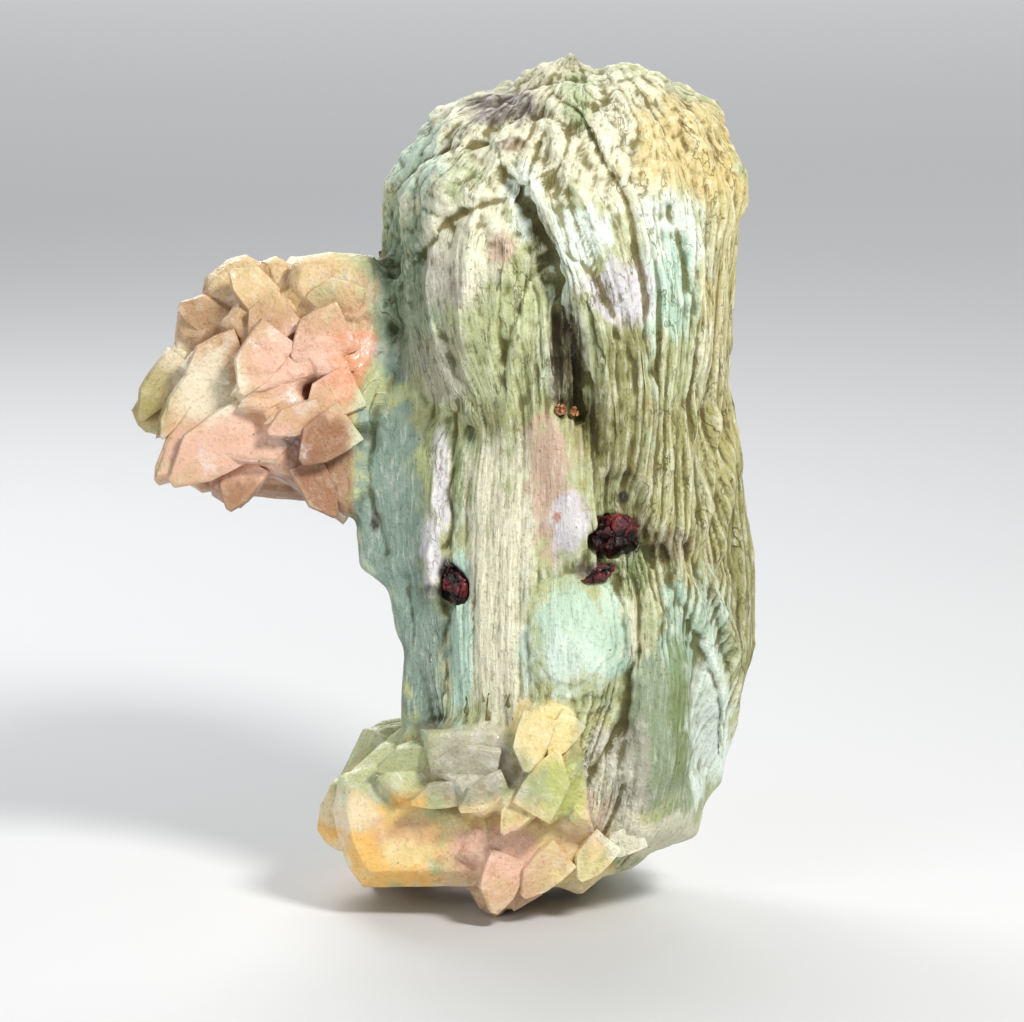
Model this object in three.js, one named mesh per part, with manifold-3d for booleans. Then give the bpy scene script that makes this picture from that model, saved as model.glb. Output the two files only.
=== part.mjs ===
// A heulandite specimen: a tall green sheaf of curved blades under a crumpled crown,
// a side cluster of peach wedge-shaped crystals, and blocky yellow crystals at the foot.
// The crystals are grown together, so they are one solid. Grains of a dark red and of an
// orange mineral sit loose-edged in pockets of it, and each of those is a piece of its own.
//
// Everything is in millimetres. Shapes are drawn in the plane of the face that is seen from
// the front: x runs to the right, y up the face and z out of it. The face leans back by LEAN
// when the specimen stands, and the finished solids are turned to +Z up, front towards -Y.
import * as THREE from "three";
import { mergeVertices } from "three/addons/utils/BufferGeometryUtils.js";
import Module from "manifold-3d";

const wasm = await Module();
wasm.setup();

const LEAN = THREE.MathUtils.degToRad(10); // of the drawn face, from upright
const REST_HEIGHT = 0.9; // height of the resting plane over the drawing's lowest point
const POCKET_GAP = 0.35; // clearance of a grain in its pocket
const FINEST_DETAIL = 0.26; // what is smaller than this is merged into its surroundings

// Half sizes of the sheaf's core at heights up the face: [height, middle, half width, half depth].
const GIRTH = [
  [84.5, 15.5, 5.0, 4.0],
  [82.5, 15.0, 9.5, 8.5],
  [79.5, 13.5, 14.0, 12.0],
  [75.0, 12.3, 16.0, 14.0],
  [69.0, 11.5, 16.3, 14.6],
  [62.0, 11.9, 15.5, 14.0],
  [55.0, 12.6, 14.7, 12.6],
  [46.0, 13.0, 14.4, 11.8],
  [37.0, 13.4, 14.4, 11.4],
  [28.0, 13.4, 14.6, 11.8],
  [19.0, 12.6, 14.4, 11.8],
  [12.0, 12.0, 12.6, 11.2],
  [6.0, 10.5, 9.0, 9.5],
  [2.8, 9.5, 5.0, 6.0],
];
const CORE_SIDES = 18;
const STRAND_TIP = 0.3; // thickness that is left at a strand's very end, as a share
const STRAND_BLUNTNESS = 4; // the higher, the shorter the part that tapers
const END_CROWDING = 0.55; // how far a strand's rows crowd towards its ends
const UNEVENNESS = 0.13; // of a lump or grain, as a share of its radius
const RIPPLE = { x: 4.1, y: 2.3, z: 3.7, twist: 1.9 }; // of the unevenness, in radians per radius

const green = new THREE.MeshStandardMaterial({ color: 0xb9c79b, roughness: 0.55 });
const darkRed = new THREE.MeshStandardMaterial({ color: 0x4a0f12, roughness: 0.5 });
const orange = new THREE.MeshStandardMaterial({ color: 0xb9763a, roughness: 0.4 });

// The sheaf's section at a height: its middle, half width and half depth.
function sectionAt(height) {
  const last = GIRTH.length - 1;
  const y = THREE.MathUtils.clamp(height, GIRTH[last][0], GIRTH[0][0]);
  const below = Math.max(1, GIRTH.findIndex((row) => row[0] <= y));
  const [top, foot] = [GIRTH[below - 1], GIRTH[below]];
  const share = (y - foot[0]) / (top[0] - foot[0]);
  const [, middle, halfWidth, halfDepth] = foot.map((value, i) => value + (top[i] - value) * share);
  return { middle, halfWidth, halfDepth };
}

// A point on the core's skin at a turn round it, from 0 at the middle of the front, and the
// direction that faces out there.
function onSkin(turn, y, proud = 0) {
  const { middle, halfWidth, halfDepth } = sectionAt(y);
  const [across, reach] = [Math.sin(turn), Math.cos(turn)];
  const out = new THREE.Vector3(across / halfWidth, 0, reach / halfDepth).normalize();
  const foot = new THREE.Vector3(middle + across * halfWidth, y, reach * halfDepth);
  return { point: foot.addScaledVector(out, proud), out };
}

// The same for a point that is drawn on the front. One that is drawn outside the core keeps
// its distance from it.
function onFront(x, y, proud = 0) {
  const { middle, halfWidth } = sectionAt(y);
  const across = (x - middle) / halfWidth;
  const inside = THREE.MathUtils.clamp(across, -1, 1);
  return onSkin(Math.asin(inside), y, proud + Math.abs(across - inside) * halfWidth);
}

// Moves every vertex of a geometry by a rule.
function reshape(geometry, rule) {
  const places = geometry.getAttribute("position");
  const vertex = new THREE.Vector3();
  for (let i = 0; i < places.count; i += 1) {
    vertex.fromBufferAttribute(places, i);
    const moved = rule(vertex.x, vertex.y, vertex.z);
    places.setXYZ(i, moved.x, moved.y, moved.z);
  }
  return geometry;
}

// A closed geometry as a solid that can be joined and cut.
function manifoldOf(geometry) {
  const bare = new THREE.BufferGeometry();
  bare.setAttribute("position", geometry.getAttribute("position"));
  bare.setIndex(geometry.index);
  const merged = mergeVertices(bare, 1e-4);
  return new wasm.Manifold(
    new wasm.Mesh({
      numProp: 3,
      vertProperties: new Float32Array(merged.getAttribute("position").array),
      triVerts: new Uint32Array(merged.index.array),
    }),
  );
}

// The same for a shape of the drawing, which it also turns upright.
function solidOf(geometry) {
  return manifoldOf(geometry.applyMatrix4(new THREE.Matrix4().makeRotationX(Math.PI / 2 - LEAN)));
}

function join(solids) {
  return solids.reduce((whole, next) => whole.add(next));
}

// The core of the sheaf, a column that follows GIRTH.
function core() {
  const rows = GIRTH.length - 1;
  const column = new THREE.CylinderGeometry(1, 1, 1, CORE_SIDES, rows);
  return reshape(column, (x, y, z) => {
    const height = GIRTH[Math.round((0.5 - y) * rows)][0];
    const { middle, halfWidth, halfDepth } = sectionAt(height);
    return new THREE.Vector3(middle + x * halfWidth, height, z * halfDepth);
  });
}

// One blade of the sheaf, seen edge on: thin across, its root in the core, rounded off at
// both ends. Its stations are points on the skin with the way that faces out there.
function strand({ stations, across, deep, sides, rows }) {
  const line = new THREE.CatmullRomCurve3(stations.map((station) => station.point));
  const facing = new THREE.CatmullRomCurve3(stations.map((station) => station.out));
  const bar = new THREE.CylinderGeometry(1, 1, 1, sides, rows);
  return reshape(bar, (x, y, z) => {
    const even = y + 0.5;
    const crowded = (1 - Math.cos(Math.PI * even)) / 2;
    const t = THREE.MathUtils.lerp(even, crowded, END_CROWDING);
    const fullness = Math.max(STRAND_TIP, Math.sqrt(1 - Math.abs(2 * t - 1) ** STRAND_BLUNTNESS));
    const along = line.getTangent(t);
    const out = facing.getPoint(t);
    out.addScaledVector(along, -out.dot(along)).normalize();
    const side = new THREE.Vector3().crossVectors(along, out);
    return line
      .getPoint(t)
      .addScaledVector(side, x * across * fullness)
      .addScaledVector(out, z * deep * fullness);
  });
}

// A strand of the front, its path drawn as [x, y] points.
function frontStrand({ path, across, deep, proud = 0, sides = 4, rows = 4 }) {
  return strand({ stations: path.map(([x, y]) => onFront(x, y, proud)), across, deep, sides, rows });
}

// A tabular crystal with flat faces and bevelled edges. Its outline is drawn face on; front
// is the depth of its face, and yaw and pitch turn it in degrees about its own middle.
function tablet({ outline, front, thick, bevel = 0.6, yaw = 0, pitch = 0 }) {
  const shape = new THREE.Shape(outline.map(([x, y]) => new THREE.Vector2(x, y)));
  const straight = thick - 2 * bevel;
  const plate = new THREE.ExtrudeGeometry(shape, {
    depth: straight,
    bevelThickness: bevel,
    bevelSize: bevel,
    bevelOffset: -bevel,
    bevelSegments: 1,
  });
  const middle = outline
    .reduce((sum, [x, y]) => sum.add(new THREE.Vector2(x, y)), new THREE.Vector2())
    .divideScalar(outline.length);
  return plate
    .translate(-middle.x, -middle.y, -(straight + bevel))
    .rotateX(THREE.MathUtils.degToRad(pitch))
    .rotateY(THREE.MathUtils.degToRad(yaw))
    .translate(middle.x, middle.y, front);
}

// An uneven many-faced ball with three radii.
function lump({ at, radii, roll = 0, detail = 1, clearance = 0 }) {
  const [rx, ry, rz] = radii.map((radius) => radius + clearance);
  return reshape(new THREE.IcosahedronGeometry(1, detail), (x, y, z) => {
    const along = Math.sin(RIPPLE.x * x + RIPPLE.y * y + at[0]);
    const ripple = along * Math.cos(RIPPLE.z * z - RIPPLE.twist * y + at[1]);
    return new THREE.Vector3(x * rx, y * ry, z * rz).multiplyScalar(1 + UNEVENNESS * ripple);
  })
    .rotateZ(THREE.MathUtils.degToRad(roll))
    .translate(...at);
}

// The sheaf's front

const LEFT_LOBE = [
  {
    path: [[4, 82.2], [-1.2, 78.4], [-4.6, 72], [-4.8, 65], [-2.6, 58], [0.2, 51.5]],
    across: 3.4, deep: 2.2,
  },
  {
    path: [[6, 81.6], [0.6, 77], [-2, 70], [-1.8, 62], [0, 55], [1.6, 50.5]],
    across: 2.8, deep: 2.1, proud: 1,
  },
  {
    path: [[7.4, 80.4], [3, 76], [0.8, 69], [0.9, 61], [2, 54], [2.6, 50]],
    across: 2.8, deep: 2.1, proud: 1.8,
  },
  {
    path: [[9, 78.6], [5.6, 74.2], [3.8, 68], [3.6, 60], [3.8, 53.5], [3.4, 49]],
    across: 2.8, deep: 2.2, proud: 2,
  },
  {
    path: [[8.4, 76.4], [7.2, 70], [6.6, 62], [5.8, 56], [5.2, 49.5]],
    across: 2.2, deep: 2.4, proud: 1.6,
  },
];
const CLEFT_FOLDS = [
  { path: [[9.4, 70], [8.9, 64], [8.2, 58], [7.2, 52], [6.2, 46.5]], across: 1.5, deep: 2.4, proud: 1 },
  { path: [[10.6, 66], [10.6, 60], [10, 54], [9.2, 49], [8, 45]], across: 1.3, deep: 2.4, proud: 0.2 },
  { path: [[12, 61], [12.2, 56], [11.4, 51], [10.2, 46]], across: 1.1, deep: 2.2, proud: -0.8 },
];
const RIGHT_LOBE = [
  {
    path: [[8, 76.6], [9.6, 70.6], [12, 65], [14.6, 59], [16, 52], [16.6, 43.8]],
    across: 1.8, deep: 3, proud: 1.4,
  },
  {
    path: [[10.4, 79], [12.8, 71.6], [15.6, 65.4], [17.8, 59], [18.8, 52], [19, 43]],
    across: 2.1, deep: 2.6, proud: 1.4,
  },
  {
    path: [[13, 81], [15.8, 75], [18.4, 69], [20.4, 63], [21.4, 56], [21.4, 50]],
    across: 2.4, deep: 2.3, proud: 1.2,
  },
  {
    path: [[16.8, 82], [20, 76], [22.4, 70], [23.6, 63.5], [24, 57], [24.2, 51]],
    across: 2.4, deep: 2.2, proud: 0.9,
  },
  {
    path: [[21.4, 82], [24.8, 76.8], [25.6, 69.5], [25.6, 62], [26, 55], [26.6, 49]],
    across: 2.4, deep: 2, proud: 0.4,
  },
  {
    path: [[23, 83.4], [27.6, 79.2], [27.9, 73], [26.6, 65], [26.4, 58], [27.8, 50.5]],
    across: 2.6, deep: 1.9,
  },
];
const MIDDLE_PANEL = [
  { path: [[2.2, 49.4], [2.3, 40], [2.7, 30], [3.1, 19.6]], across: 1.7, deep: 1.4, proud: 1.1 },
  { path: [[4.4, 48.6], [4.5, 40], [4.7, 30], [4.9, 19.2]], across: 1.7, deep: 1.4, proud: 1 },
  { path: [[6.6, 48], [6.8, 38], [6.8, 28], [6.7, 20.4]], across: 1.7, deep: 1.3, proud: 0.8 },
  { path: [[8.8, 47], [9, 38], [8.9, 29], [8.7, 21.6]], across: 1.8, deep: 1.3, proud: 0.6 },
  { path: [[0.4, 31], [0.6, 27], [1, 22], [1.6, 18.4]], across: 1.6, deep: 1.5, proud: 1.2 },
  // the pink swelling
  {
    path: [[10.2, 51], [11.8, 46], [12.8, 41], [12.6, 35.6]],
    across: 2.9, deep: 2, proud: 0.4, sides: 6,
  },
];
const RIGHT_STRANDS = [
  { path: [[20.4, 56], [19.2, 49.5], [19.6, 42.5], [20.6, 37]], across: 1.1, deep: 2.2, proud: 0.3 },
  { path: [[22.4, 53.5], [21.4, 47], [21.2, 41], [21.8, 36]], across: 0.9, deep: 2.2, proud: 0.6 },
  { path: [[24.2, 53], [23.4, 46], [22.8, 40], [22.8, 35]], across: 0.9, deep: 2.2, proud: 0.6 },
  { path: [[26, 53], [25.4, 45.5], [24.6, 39.5], [24, 34.6]], across: 0.9, deep: 2.2, proud: 0.6 },
  { path: [[27.4, 51], [27.2, 44], [26.8, 38], [26.2, 34]], across: 1, deep: 2, proud: 0.4 },
  { path: [[27.9, 55], [28.2, 47], [29, 39], [30, 30], [29.6, 22]], across: 1.7, deep: 1.8, rows: 5 },
  { path: [[21.6, 37.6], [22.6, 32.4], [22.3, 27.6]], across: 0.9, deep: 2, proud: 0.5 },
  {
    path: [[22.2, 37.4], [24.6, 30], [25.6, 22], [25.8, 14.4], [24, 10.6]],
    across: 1.3, deep: 2.4, proud: 0.8,
  },
  { path: [[23.6, 37.4], [26.6, 30.4], [27.6, 22], [27.4, 14.6]], across: 1, deep: 2, proud: 0.5 },
  { path: [[25.6, 37], [28.2, 30], [28.6, 22], [27.2, 13.4]], across: 1.1, deep: 1.5 },
  // the smooth green column
  {
    path: [[18.8, 36], [20.4, 28], [21, 20], [20.2, 12], [17.6, 6.6]],
    across: 3.9, deep: 2.6, proud: 0.4, sides: 7, rows: 5,
  },
];

// The stepped plates down the left side, drawn by their outlines.
const SIDE_PLATES = [
  {
    outline: [
      [-4, 57.8], [-7.2, 50.5], [-8.6, 43.5], [-9.1, 38], [-8.8, 34.8], [-6.6, 33], [-4.4, 34.2],
      [-1, 40], [-0.6, 52],
    ],
    front: 6, thick: 4.6, bevel: 0.4, yaw: -15,
  },
  // the narrow white ridge along the right edge of the first plate
  {
    outline: [
      [-0.7, 50], [1.1, 50.4], [0.6, 46], [0.2, 40], [-0.2, 34.5], [-0.2, 31.4], [-1.2, 31.7],
      [-2.1, 34], [-1.9, 40], [-1.5, 45],
    ],
    front: 8.2, thick: 5, bevel: 0.5,
  },
  {
    outline: [[-5, 44], [-5.8, 36], [-5.7, 30.5], [-4.9, 27.4], [-3.3, 26.2], [0.4, 28], [0.6, 42]],
    front: 6, thick: 5, bevel: 0.4, yaw: -14,
  },
  {
    outline: [[-3.4, 31], [-4.6, 25], [-4.8, 20.4], [-4.6, 16], [-1, 14.6], [2.4, 17.4], [2.4, 30]],
    front: 7, thick: 8, bevel: 0.5, yaw: -16,
  },
];

const FACE_LUMPS = [
  { at: [12.6, 27.2, 10.4], radii: [5.4, 8.8, 3.4], roll: 4 }, // the shield-shaped plate
  { at: [20.3, 11, 2.4], radii: [6.2, 5.2, 8], roll: 20 }, // the rounded lower right end
  { at: [2.2, 72.6, 12.4], radii: [4.8, 4, 3.4], roll: 30 }, // the left lobe's brow
  { at: [18, 35.6, 11], radii: [1.7, 2.7, 2] }, // the green knob beside the red grain
];

// The crown's crumples are spread over a dome, evenly by the golden angle.
const DOME = { middle: [12, 68.8, 0], radii: [16.4, 14.8, 14], drift: 0.18 };
const CRUMPLES = 30;
const CRUMPLE_REACH = THREE.MathUtils.degToRad(84); // down from the top
const CRUMPLE_SIZE = { least: 2.2, more: 1.9 };
const CRUMPLE_FORM = [1.3, 0.8, 1]; // wider than high
const CRUMPLE_SEED = 60;
const GOLDEN_ANGLE = Math.PI * (3 - Math.sqrt(5));

// The cleft between the two lobes, cut into the core before the strands go on.
const CLEFT = {
  path: [[8.4, 72], [11.4, 64], [13.2, 57], [13.2, 50], [14, 43]],
  across: 1.4, deep: 4.4, proud: 0.6, rows: 6,
};

// The side cluster

const CLUSTER_MASS = [
  { at: [-15, 53.6, -2], radii: [9, 9, 7] },
  { at: [-7.4, 54, -2], radii: [7.4, 10.6, 7] },
];

// The crystals lap over each other like shingles, their tips to the lower left and standing out.
const CLUSTER_CRYSTALS = [
  // the rounded top
  {
    outline: [[-27.6, 57.6], [-27.3, 60.5], [-24.7, 61.8], [-22.6, 60.6], [-22, 58], [-24.3, 56.8]],
    front: 2.2, thick: 7, yaw: -14, bevel: 0.8,
  },
  {
    outline: [
      [-24.7, 61.4], [-24.4, 64], [-22.2, 66], [-20.3, 66.5], [-18, 65.4], [-18.4, 62.4], [-21, 60.6],
    ],
    front: 2.6, thick: 8, yaw: -6, pitch: -12, bevel: 0.9,
  },
  {
    outline: [[-18.6, 65.6], [-17.1, 66.2], [-15.2, 65.2], [-15, 62.4], [-17.4, 61.8]],
    front: 3, thick: 7, pitch: -10, bevel: 0.7,
  },
  {
    outline: [
      [-15.4, 65.2], [-14.5, 66.1], [-11.5, 66.6], [-7, 66.2], [-5, 63], [-5.4, 59.6], [-9.5, 58.6],
      [-13.6, 59.6], [-15.5, 62.4],
    ],
    front: 5.6, thick: 10, pitch: -10, bevel: 1,
  },
  {
    outline: [
      [-22.6, 59.2], [-21, 61.4], [-18.4, 63], [-15.2, 62.4], [-14.2, 60.4], [-17, 58.6], [-20, 57.6],
    ],
    front: 5.4, thick: 6, pitch: -22, bevel: 0.6,
  },
  // the far left blade and the thin green ones beside it
  {
    outline: [
      [-31.5, 50.6], [-30.9, 49.1], [-30.1, 48.4], [-28.6, 48.1], [-27.9, 50.6], [-25.6, 54.6],
      [-25.4, 57], [-27.3, 57.2], [-29, 54.8],
    ],
    front: 1.4, thick: 4.4, bevel: 0.7, yaw: 6,
  },
  {
    outline: [
      [-29, 48], [-28.5, 50.6], [-27, 53.6], [-25.8, 55.2], [-22.6, 54.4], [-24.6, 51], [-27.3, 48.6],
    ],
    front: 3, thick: 3, bevel: 0.4, yaw: 6, pitch: -8,
  },
  {
    outline: [[-28.2, 50.4], [-26.8, 53.6], [-25.4, 55], [-22, 53.6], [-25, 50.8], [-27.4, 49.8]],
    front: 4.2, thick: 2.6, bevel: 0.35, yaw: 8, pitch: -14,
  },
  // the shingles
  {
    outline: [
      [-26.5, 55], [-25.4, 56.4], [-23.7, 57.9], [-21.6, 58.2], [-19.4, 57], [-18.6, 55], [-20.8, 52.4],
      [-23.4, 53.2],
    ],
    front: 5.4, thick: 5, bevel: 0.45, yaw: 4, pitch: -20,
  },
  {
    outline: [
      [-21.4, 55.6], [-19.9, 57.3], [-18.3, 59.4], [-16.6, 60.1], [-14.6, 59.4], [-13.6, 57],
      [-15.6, 56], [-18, 55.8],
    ],
    front: 6.6, thick: 4, bevel: 0.4, yaw: 8, pitch: -22,
  },
  {
    outline: [
      [-21.2, 52.2], [-20.2, 54.2], [-18.6, 56.7], [-16.6, 58.2], [-14.8, 57.5], [-13.4, 55.9],
      [-13.2, 54], [-15.3, 53.2], [-18, 52.3],
    ],
    front: 8, thick: 4.4, bevel: 0.4, yaw: 8, pitch: -16,
  },
  {
    outline: [[-14.4, 56.2], [-13.2, 57.3], [-11.6, 57.7], [-9.8, 56.4], [-9, 54.4], [-12.6, 54]],
    front: 7.6, thick: 4, bevel: 0.45, yaw: 4, pitch: -20,
  },
  {
    outline: [[-12, 58], [-9.6, 60.2], [-5.6, 60], [-4.6, 56], [-6.4, 51.4], [-9.4, 51], [-11.6, 54]],
    front: 6.6, thick: 7, bevel: 0.8, yaw: 4, pitch: -12,
  },
  {
    outline: [[-20.6, 50.8], [-19.2, 52.5], [-16, 54], [-14.2, 53.4], [-15.4, 51.2], [-17.8, 50.2]],
    front: 8, thick: 3, bevel: 0.35, yaw: 10, pitch: -18,
  },
  {
    outline: [
      [-18, 49.1], [-16.8, 51.1], [-14.7, 51.8], [-11.5, 51.4], [-7, 51.6], [-7, 49.2], [-11, 48.6],
      [-14.1, 48.9],
    ],
    front: 8.2, thick: 4, bevel: 0.4, yaw: 4, pitch: -20,
  },
  {
    outline: [
      [-29, 43.5], [-28.9, 44.8], [-27.6, 48.6], [-25.3, 51.6], [-23.3, 53.1], [-20.8, 52.9],
      [-18.9, 51.5], [-16.8, 49.6], [-15.4, 47], [-17, 45.2], [-20.3, 45.4], [-22.3, 45.8],
      [-25.3, 44.4],
    ],
    front: 6.8, thick: 4.6, bevel: 0.4, yaw: -4, pitch: -8,
  },
  {
    outline: [
      [-23.5, 42.8], [-23.1, 45.4], [-21.8, 46.8], [-17.4, 46.4], [-18.9, 43.2], [-20.6, 41.4],
      [-22.3, 42],
    ],
    front: 4.6, thick: 4, bevel: 0.4, pitch: -14,
  },
  {
    outline: [[-26.4, 43.8], [-25, 46.8], [-22.4, 46.6], [-22.8, 43], [-24.6, 42.7]],
    front: 2.4, thick: 3.4, bevel: 0.4, pitch: -10,
  },
  {
    outline: [
      [-18.8, 45.4], [-17.4, 49.2], [-14.1, 50.2], [-6.4, 50.2], [-7, 43.4], [-9, 40.8], [-9.9, 40],
      [-12.2, 41.8], [-15.2, 43.9],
    ],
    front: 6.4, thick: 8, bevel: 0.7, yaw: 4, pitch: -8,
  },
  // the hidden side
  {
    outline: [[-25, 50], [-24.6, 56], [-19, 60], [-15, 56], [-18, 47]],
    front: -3.6, thick: 5, yaw: 24, bevel: 0.9,
  },
  {
    outline: [[-20, 61], [-16, 65], [-9, 64.4], [-7, 58], [-14, 56]],
    front: -4, thick: 6, pitch: 20, bevel: 0.9,
  },
  {
    outline: [[-22, 43], [-20.4, 50], [-13, 53], [-8, 47], [-12, 42]],
    front: -4, thick: 5, pitch: -14, bevel: 0.9,
  },
  {
    outline: [[-15, 52], [-12, 60], [-5, 60], [-4, 50], [-10, 47]],
    front: -5, thick: 6, yaw: 8, bevel: 1,
  },
];

// The foot

const FOOT_CRYSTALS = [
  {
    outline: [
      [-10.8, 14], [-7.5, 15], [-2.5, 13], [2.5, 11.5], [5.5, 8.5], [6.7, 4.7], [3, 3.1], [-2.5, 3],
      [-8.3, 2.9], [-9.7, 4.7], [-10.7, 7], [-11.4, 10.5],
    ],
    front: 9, thick: 17, bevel: 1.7, yaw: -6,
  },
  {
    outline: [[-12.9, 8.3], [-12.6, 10.7], [-11.3, 13.2], [-8, 14], [-7.6, 6.6], [-10.7, 6.2], [-12, 7]],
    front: 3, thick: 9, bevel: 0.8,
  },
  {
    outline: [[-10.6, 13.4], [-8.6, 15.6], [-6.9, 17.2], [-4.5, 19.4], [0, 18], [-0.5, 12], [-7, 11]],
    front: 5.4, thick: 13, bevel: 1.2, pitch: -16,
  },
  {
    outline: [
      [-6.7, 13.9], [-4.7, 17.4], [-2.1, 18.2], [1.2, 17.4], [2.5, 14.5], [0.4, 12.2], [-4.5, 11.8],
    ],
    front: 9.6, thick: 6, pitch: -18, bevel: 0.5,
  },
  {
    outline: [[-2.4, 19], [5, 19.3], [7.2, 16.9], [6.4, 13.6], [4.5, 13], [1.6, 13.6], [-1.2, 14.4]],
    front: 12, thick: 7, pitch: -8,
  },
  {
    outline: [[-1, 14.8], [1.1, 14.8], [6.5, 15.5], [6.4, 12.2], [3.9, 10.2], [2.5, 10.8], [0.8, 13.4]],
    front: 12.6, thick: 6, pitch: -6,
  },
  {
    outline: [
      [8, 20.1], [9.4, 22.2], [12.6, 22.1], [13.9, 19.9], [12.4, 16.9], [9.8, 15.2], [7.8, 15.8],
      [7, 17],
    ],
    front: 14.2, thick: 8, yaw: 14, bevel: 0.9,
  },
  {
    outline: [[9.2, 14.7], [13.7, 16.1], [12.2, 12.8], [10.8, 9.8], [9.4, 9.8], [8.3, 11.6]],
    front: 14.4, thick: 6, yaw: -12, pitch: 6,
  },
  {
    outline: [[5.6, 12], [8.2, 14.8], [9.4, 15], [8.9, 11.4], [6.2, 10.4]],
    front: 13, thick: 5, yaw: 18, bevel: 0.4,
  },
  {
    outline: [[12.6, 21], [16.4, 20], [17.6, 14], [15, 8.6], [12, 10], [12.4, 15]],
    front: 12.8, thick: 6, yaw: 10, bevel: 0.8,
  },
  {
    outline: [
      [3.2, 8.8], [8.5, 11], [13.4, 10.4], [15, 7], [13, 4.5], [10.7, 3.4], [8.5, 3.1], [4.5, 3.4],
      [1.4, 6.4],
    ],
    front: 10.6, thick: 17, bevel: 1.4, yaw: 6,
  },
  {
    outline: [[2, 3.4], [4.4, 5.4], [6.6, 5], [7, 1.5], [5.4, -0.1], [4.8, -0.1], [3.4, 0.8]],
    front: 6.4, thick: 6.4,
  },
  {
    outline: [[4.6, 5], [10.8, 5], [10.6, 3.2], [9.6, 2.1], [6.9, 0.5], [5.6, 1.9]],
    front: 7.6, thick: 6.6,
  },
  {
    outline: [
      [10.6, 3.5], [11.6, 6.6], [15.6, 7], [16, 4.7], [15.6, 3.7], [13.8, 2.2], [13.2, 2.1], [11.7, 2.7],
    ],
    front: 6, thick: 11, bevel: 0.8,
  },
  {
    outline: [[14.6, 4.4], [14.6, 8], [20.6, 9], [20.2, 5.7], [18.5, 4.5], [16.5, 3.9]],
    front: 5, thick: 10, bevel: 0.8,
  },
  // left heel
  {
    outline: [[-8.6, 10], [-8, 2.95], [-1.5, 2.95], [1.5, 9], [-3, 14]],
    front: -3, thick: 12.5, bevel: 0.9,
  },
  // right heel
  {
    outline: [[8.6, 10], [11.2, 3.3], [15.3, 3.3], [19, 9], [14, 14]],
    front: -3, thick: 13, bevel: 0.9,
  },
  { outline: [[-10, 12], [-7, 18], [1, 20], [4, 12], [-4, 8]], front: -5, thick: 7, yaw: 18, bevel: 1 },
  { outline: [[2, 12], [5, 20], [12, 21], [13, 12], [7, 8]], front: -8, thick: 6, pitch: 12, bevel: 1 },
];

// The grains, each an uneven many-faced ball, [x, y, z] at its middle.
const GRAINS = [
  { name: "red_grain_right", at: [16.6, 38, 11.6], radii: [2.7, 2.1, 1.7], roll: 20, material: darkRed },
  { name: "red_grain_right_small", at: [15.2, 34.3, 12.6], radii: [1.9, 0.9, 1.1], roll: 24, material: darkRed },
  { name: "red_grain_left", at: [1.1, 32.9, 8.6], radii: [1.3, 2.3, 1.3], roll: 18, material: darkRed },
  { name: "orange_grain_left", at: [11.5, 50.4, 13.3], radii: [0.62, 0.65, 0.6], roll: 0, material: orange },
  { name: "orange_grain_right", at: [12.9, 50.2, 13.3], radii: [0.5, 0.55, 0.5], roll: 30, material: orange },
];

// The sides and the back of the sheaf: two tiers of strands that draw together at its waist.
const BACK_TIERS = [
  { count: 12, from: 79, to: 41, across: 3, deep: 2.1 },
  { count: 10, from: 49, to: 9, across: 2.9, deep: 2 },
];
const BACK_SPREAD = THREE.MathUtils.degToRad(98); // to each side of the back's middle
const BACK_CHANCE = { place: 0.05, start: 5, end: 8, proud: 0.6, swell: 0.4 }; // the most that it adds
const BACK_ROWS = 4;
const BACK_STATIONS = 5;
const WAIST_HEIGHT = 45;
const WAIST_DRAW = 0.16; // how much of the spread the waist takes in
const WAIST_SPAN = 14;

// A repeatable number from 0 to 1 for a whole number.
function chance(seed) {
  const value = Math.sin(seed * 12.9898 + 4.1) * 43758.5453;
  return value - Math.floor(value);
}

function backStrands() {
  return BACK_TIERS.flatMap(({ count, from, to, across, deep }, tier) =>
    Array.from({ length: count }, (_, i) => {
      const seed = 40 * tier + i;
      const place = (2 * (i + 0.5)) / count - 1 + BACK_CHANCE.place * (chance(seed + 3) - 0.5);
      const start = from - BACK_CHANCE.start * chance(seed);
      const end = to + BACK_CHANCE.end * chance(seed + 7);
      const proud = BACK_CHANCE.proud * chance(seed + 33);
      const stations = Array.from({ length: BACK_STATIONS }, (__, k) => {
        const height = THREE.MathUtils.lerp(start, end, k / (BACK_STATIONS - 1));
        const drawn = WAIST_DRAW * Math.exp(-(((height - WAIST_HEIGHT) / WAIST_SPAN) ** 2));
        return onSkin(Math.PI + place * BACK_SPREAD * (1 - drawn), height, proud);
      });
      const swell = 1 + BACK_CHANCE.swell * (chance(seed + 21) - 0.5);
      return { stations, across: across * swell, deep, sides: 4, rows: BACK_ROWS };
    }),
  );
}

function crownCrumples() {
  const { middle, radii, drift } = DOME;
  return Array.from({ length: CRUMPLES }, (_, i) => {
    const polar = CRUMPLE_REACH * Math.sqrt((i + 0.5) / CRUMPLES);
    const turn = i * GOLDEN_ANGLE;
    const size = CRUMPLE_SIZE.least + CRUMPLE_SIZE.more * chance(CRUMPLE_SEED + i);
    const rise = radii[1] * Math.cos(polar);
    const x = middle[0] + drift * rise + radii[0] * Math.sin(polar) * Math.cos(turn);
    const z = middle[2] + radii[2] * Math.sin(polar) * Math.sin(turn);
    const roll = -THREE.MathUtils.radToDeg(polar) * Math.cos(turn);
    const flattened = CRUMPLE_FORM.map((share) => size * share);
    return { at: [x, middle[1] + rise, z], radii: flattened, roll, detail: i % 3 === 0 ? 1 : 0 };
  });
}

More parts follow.
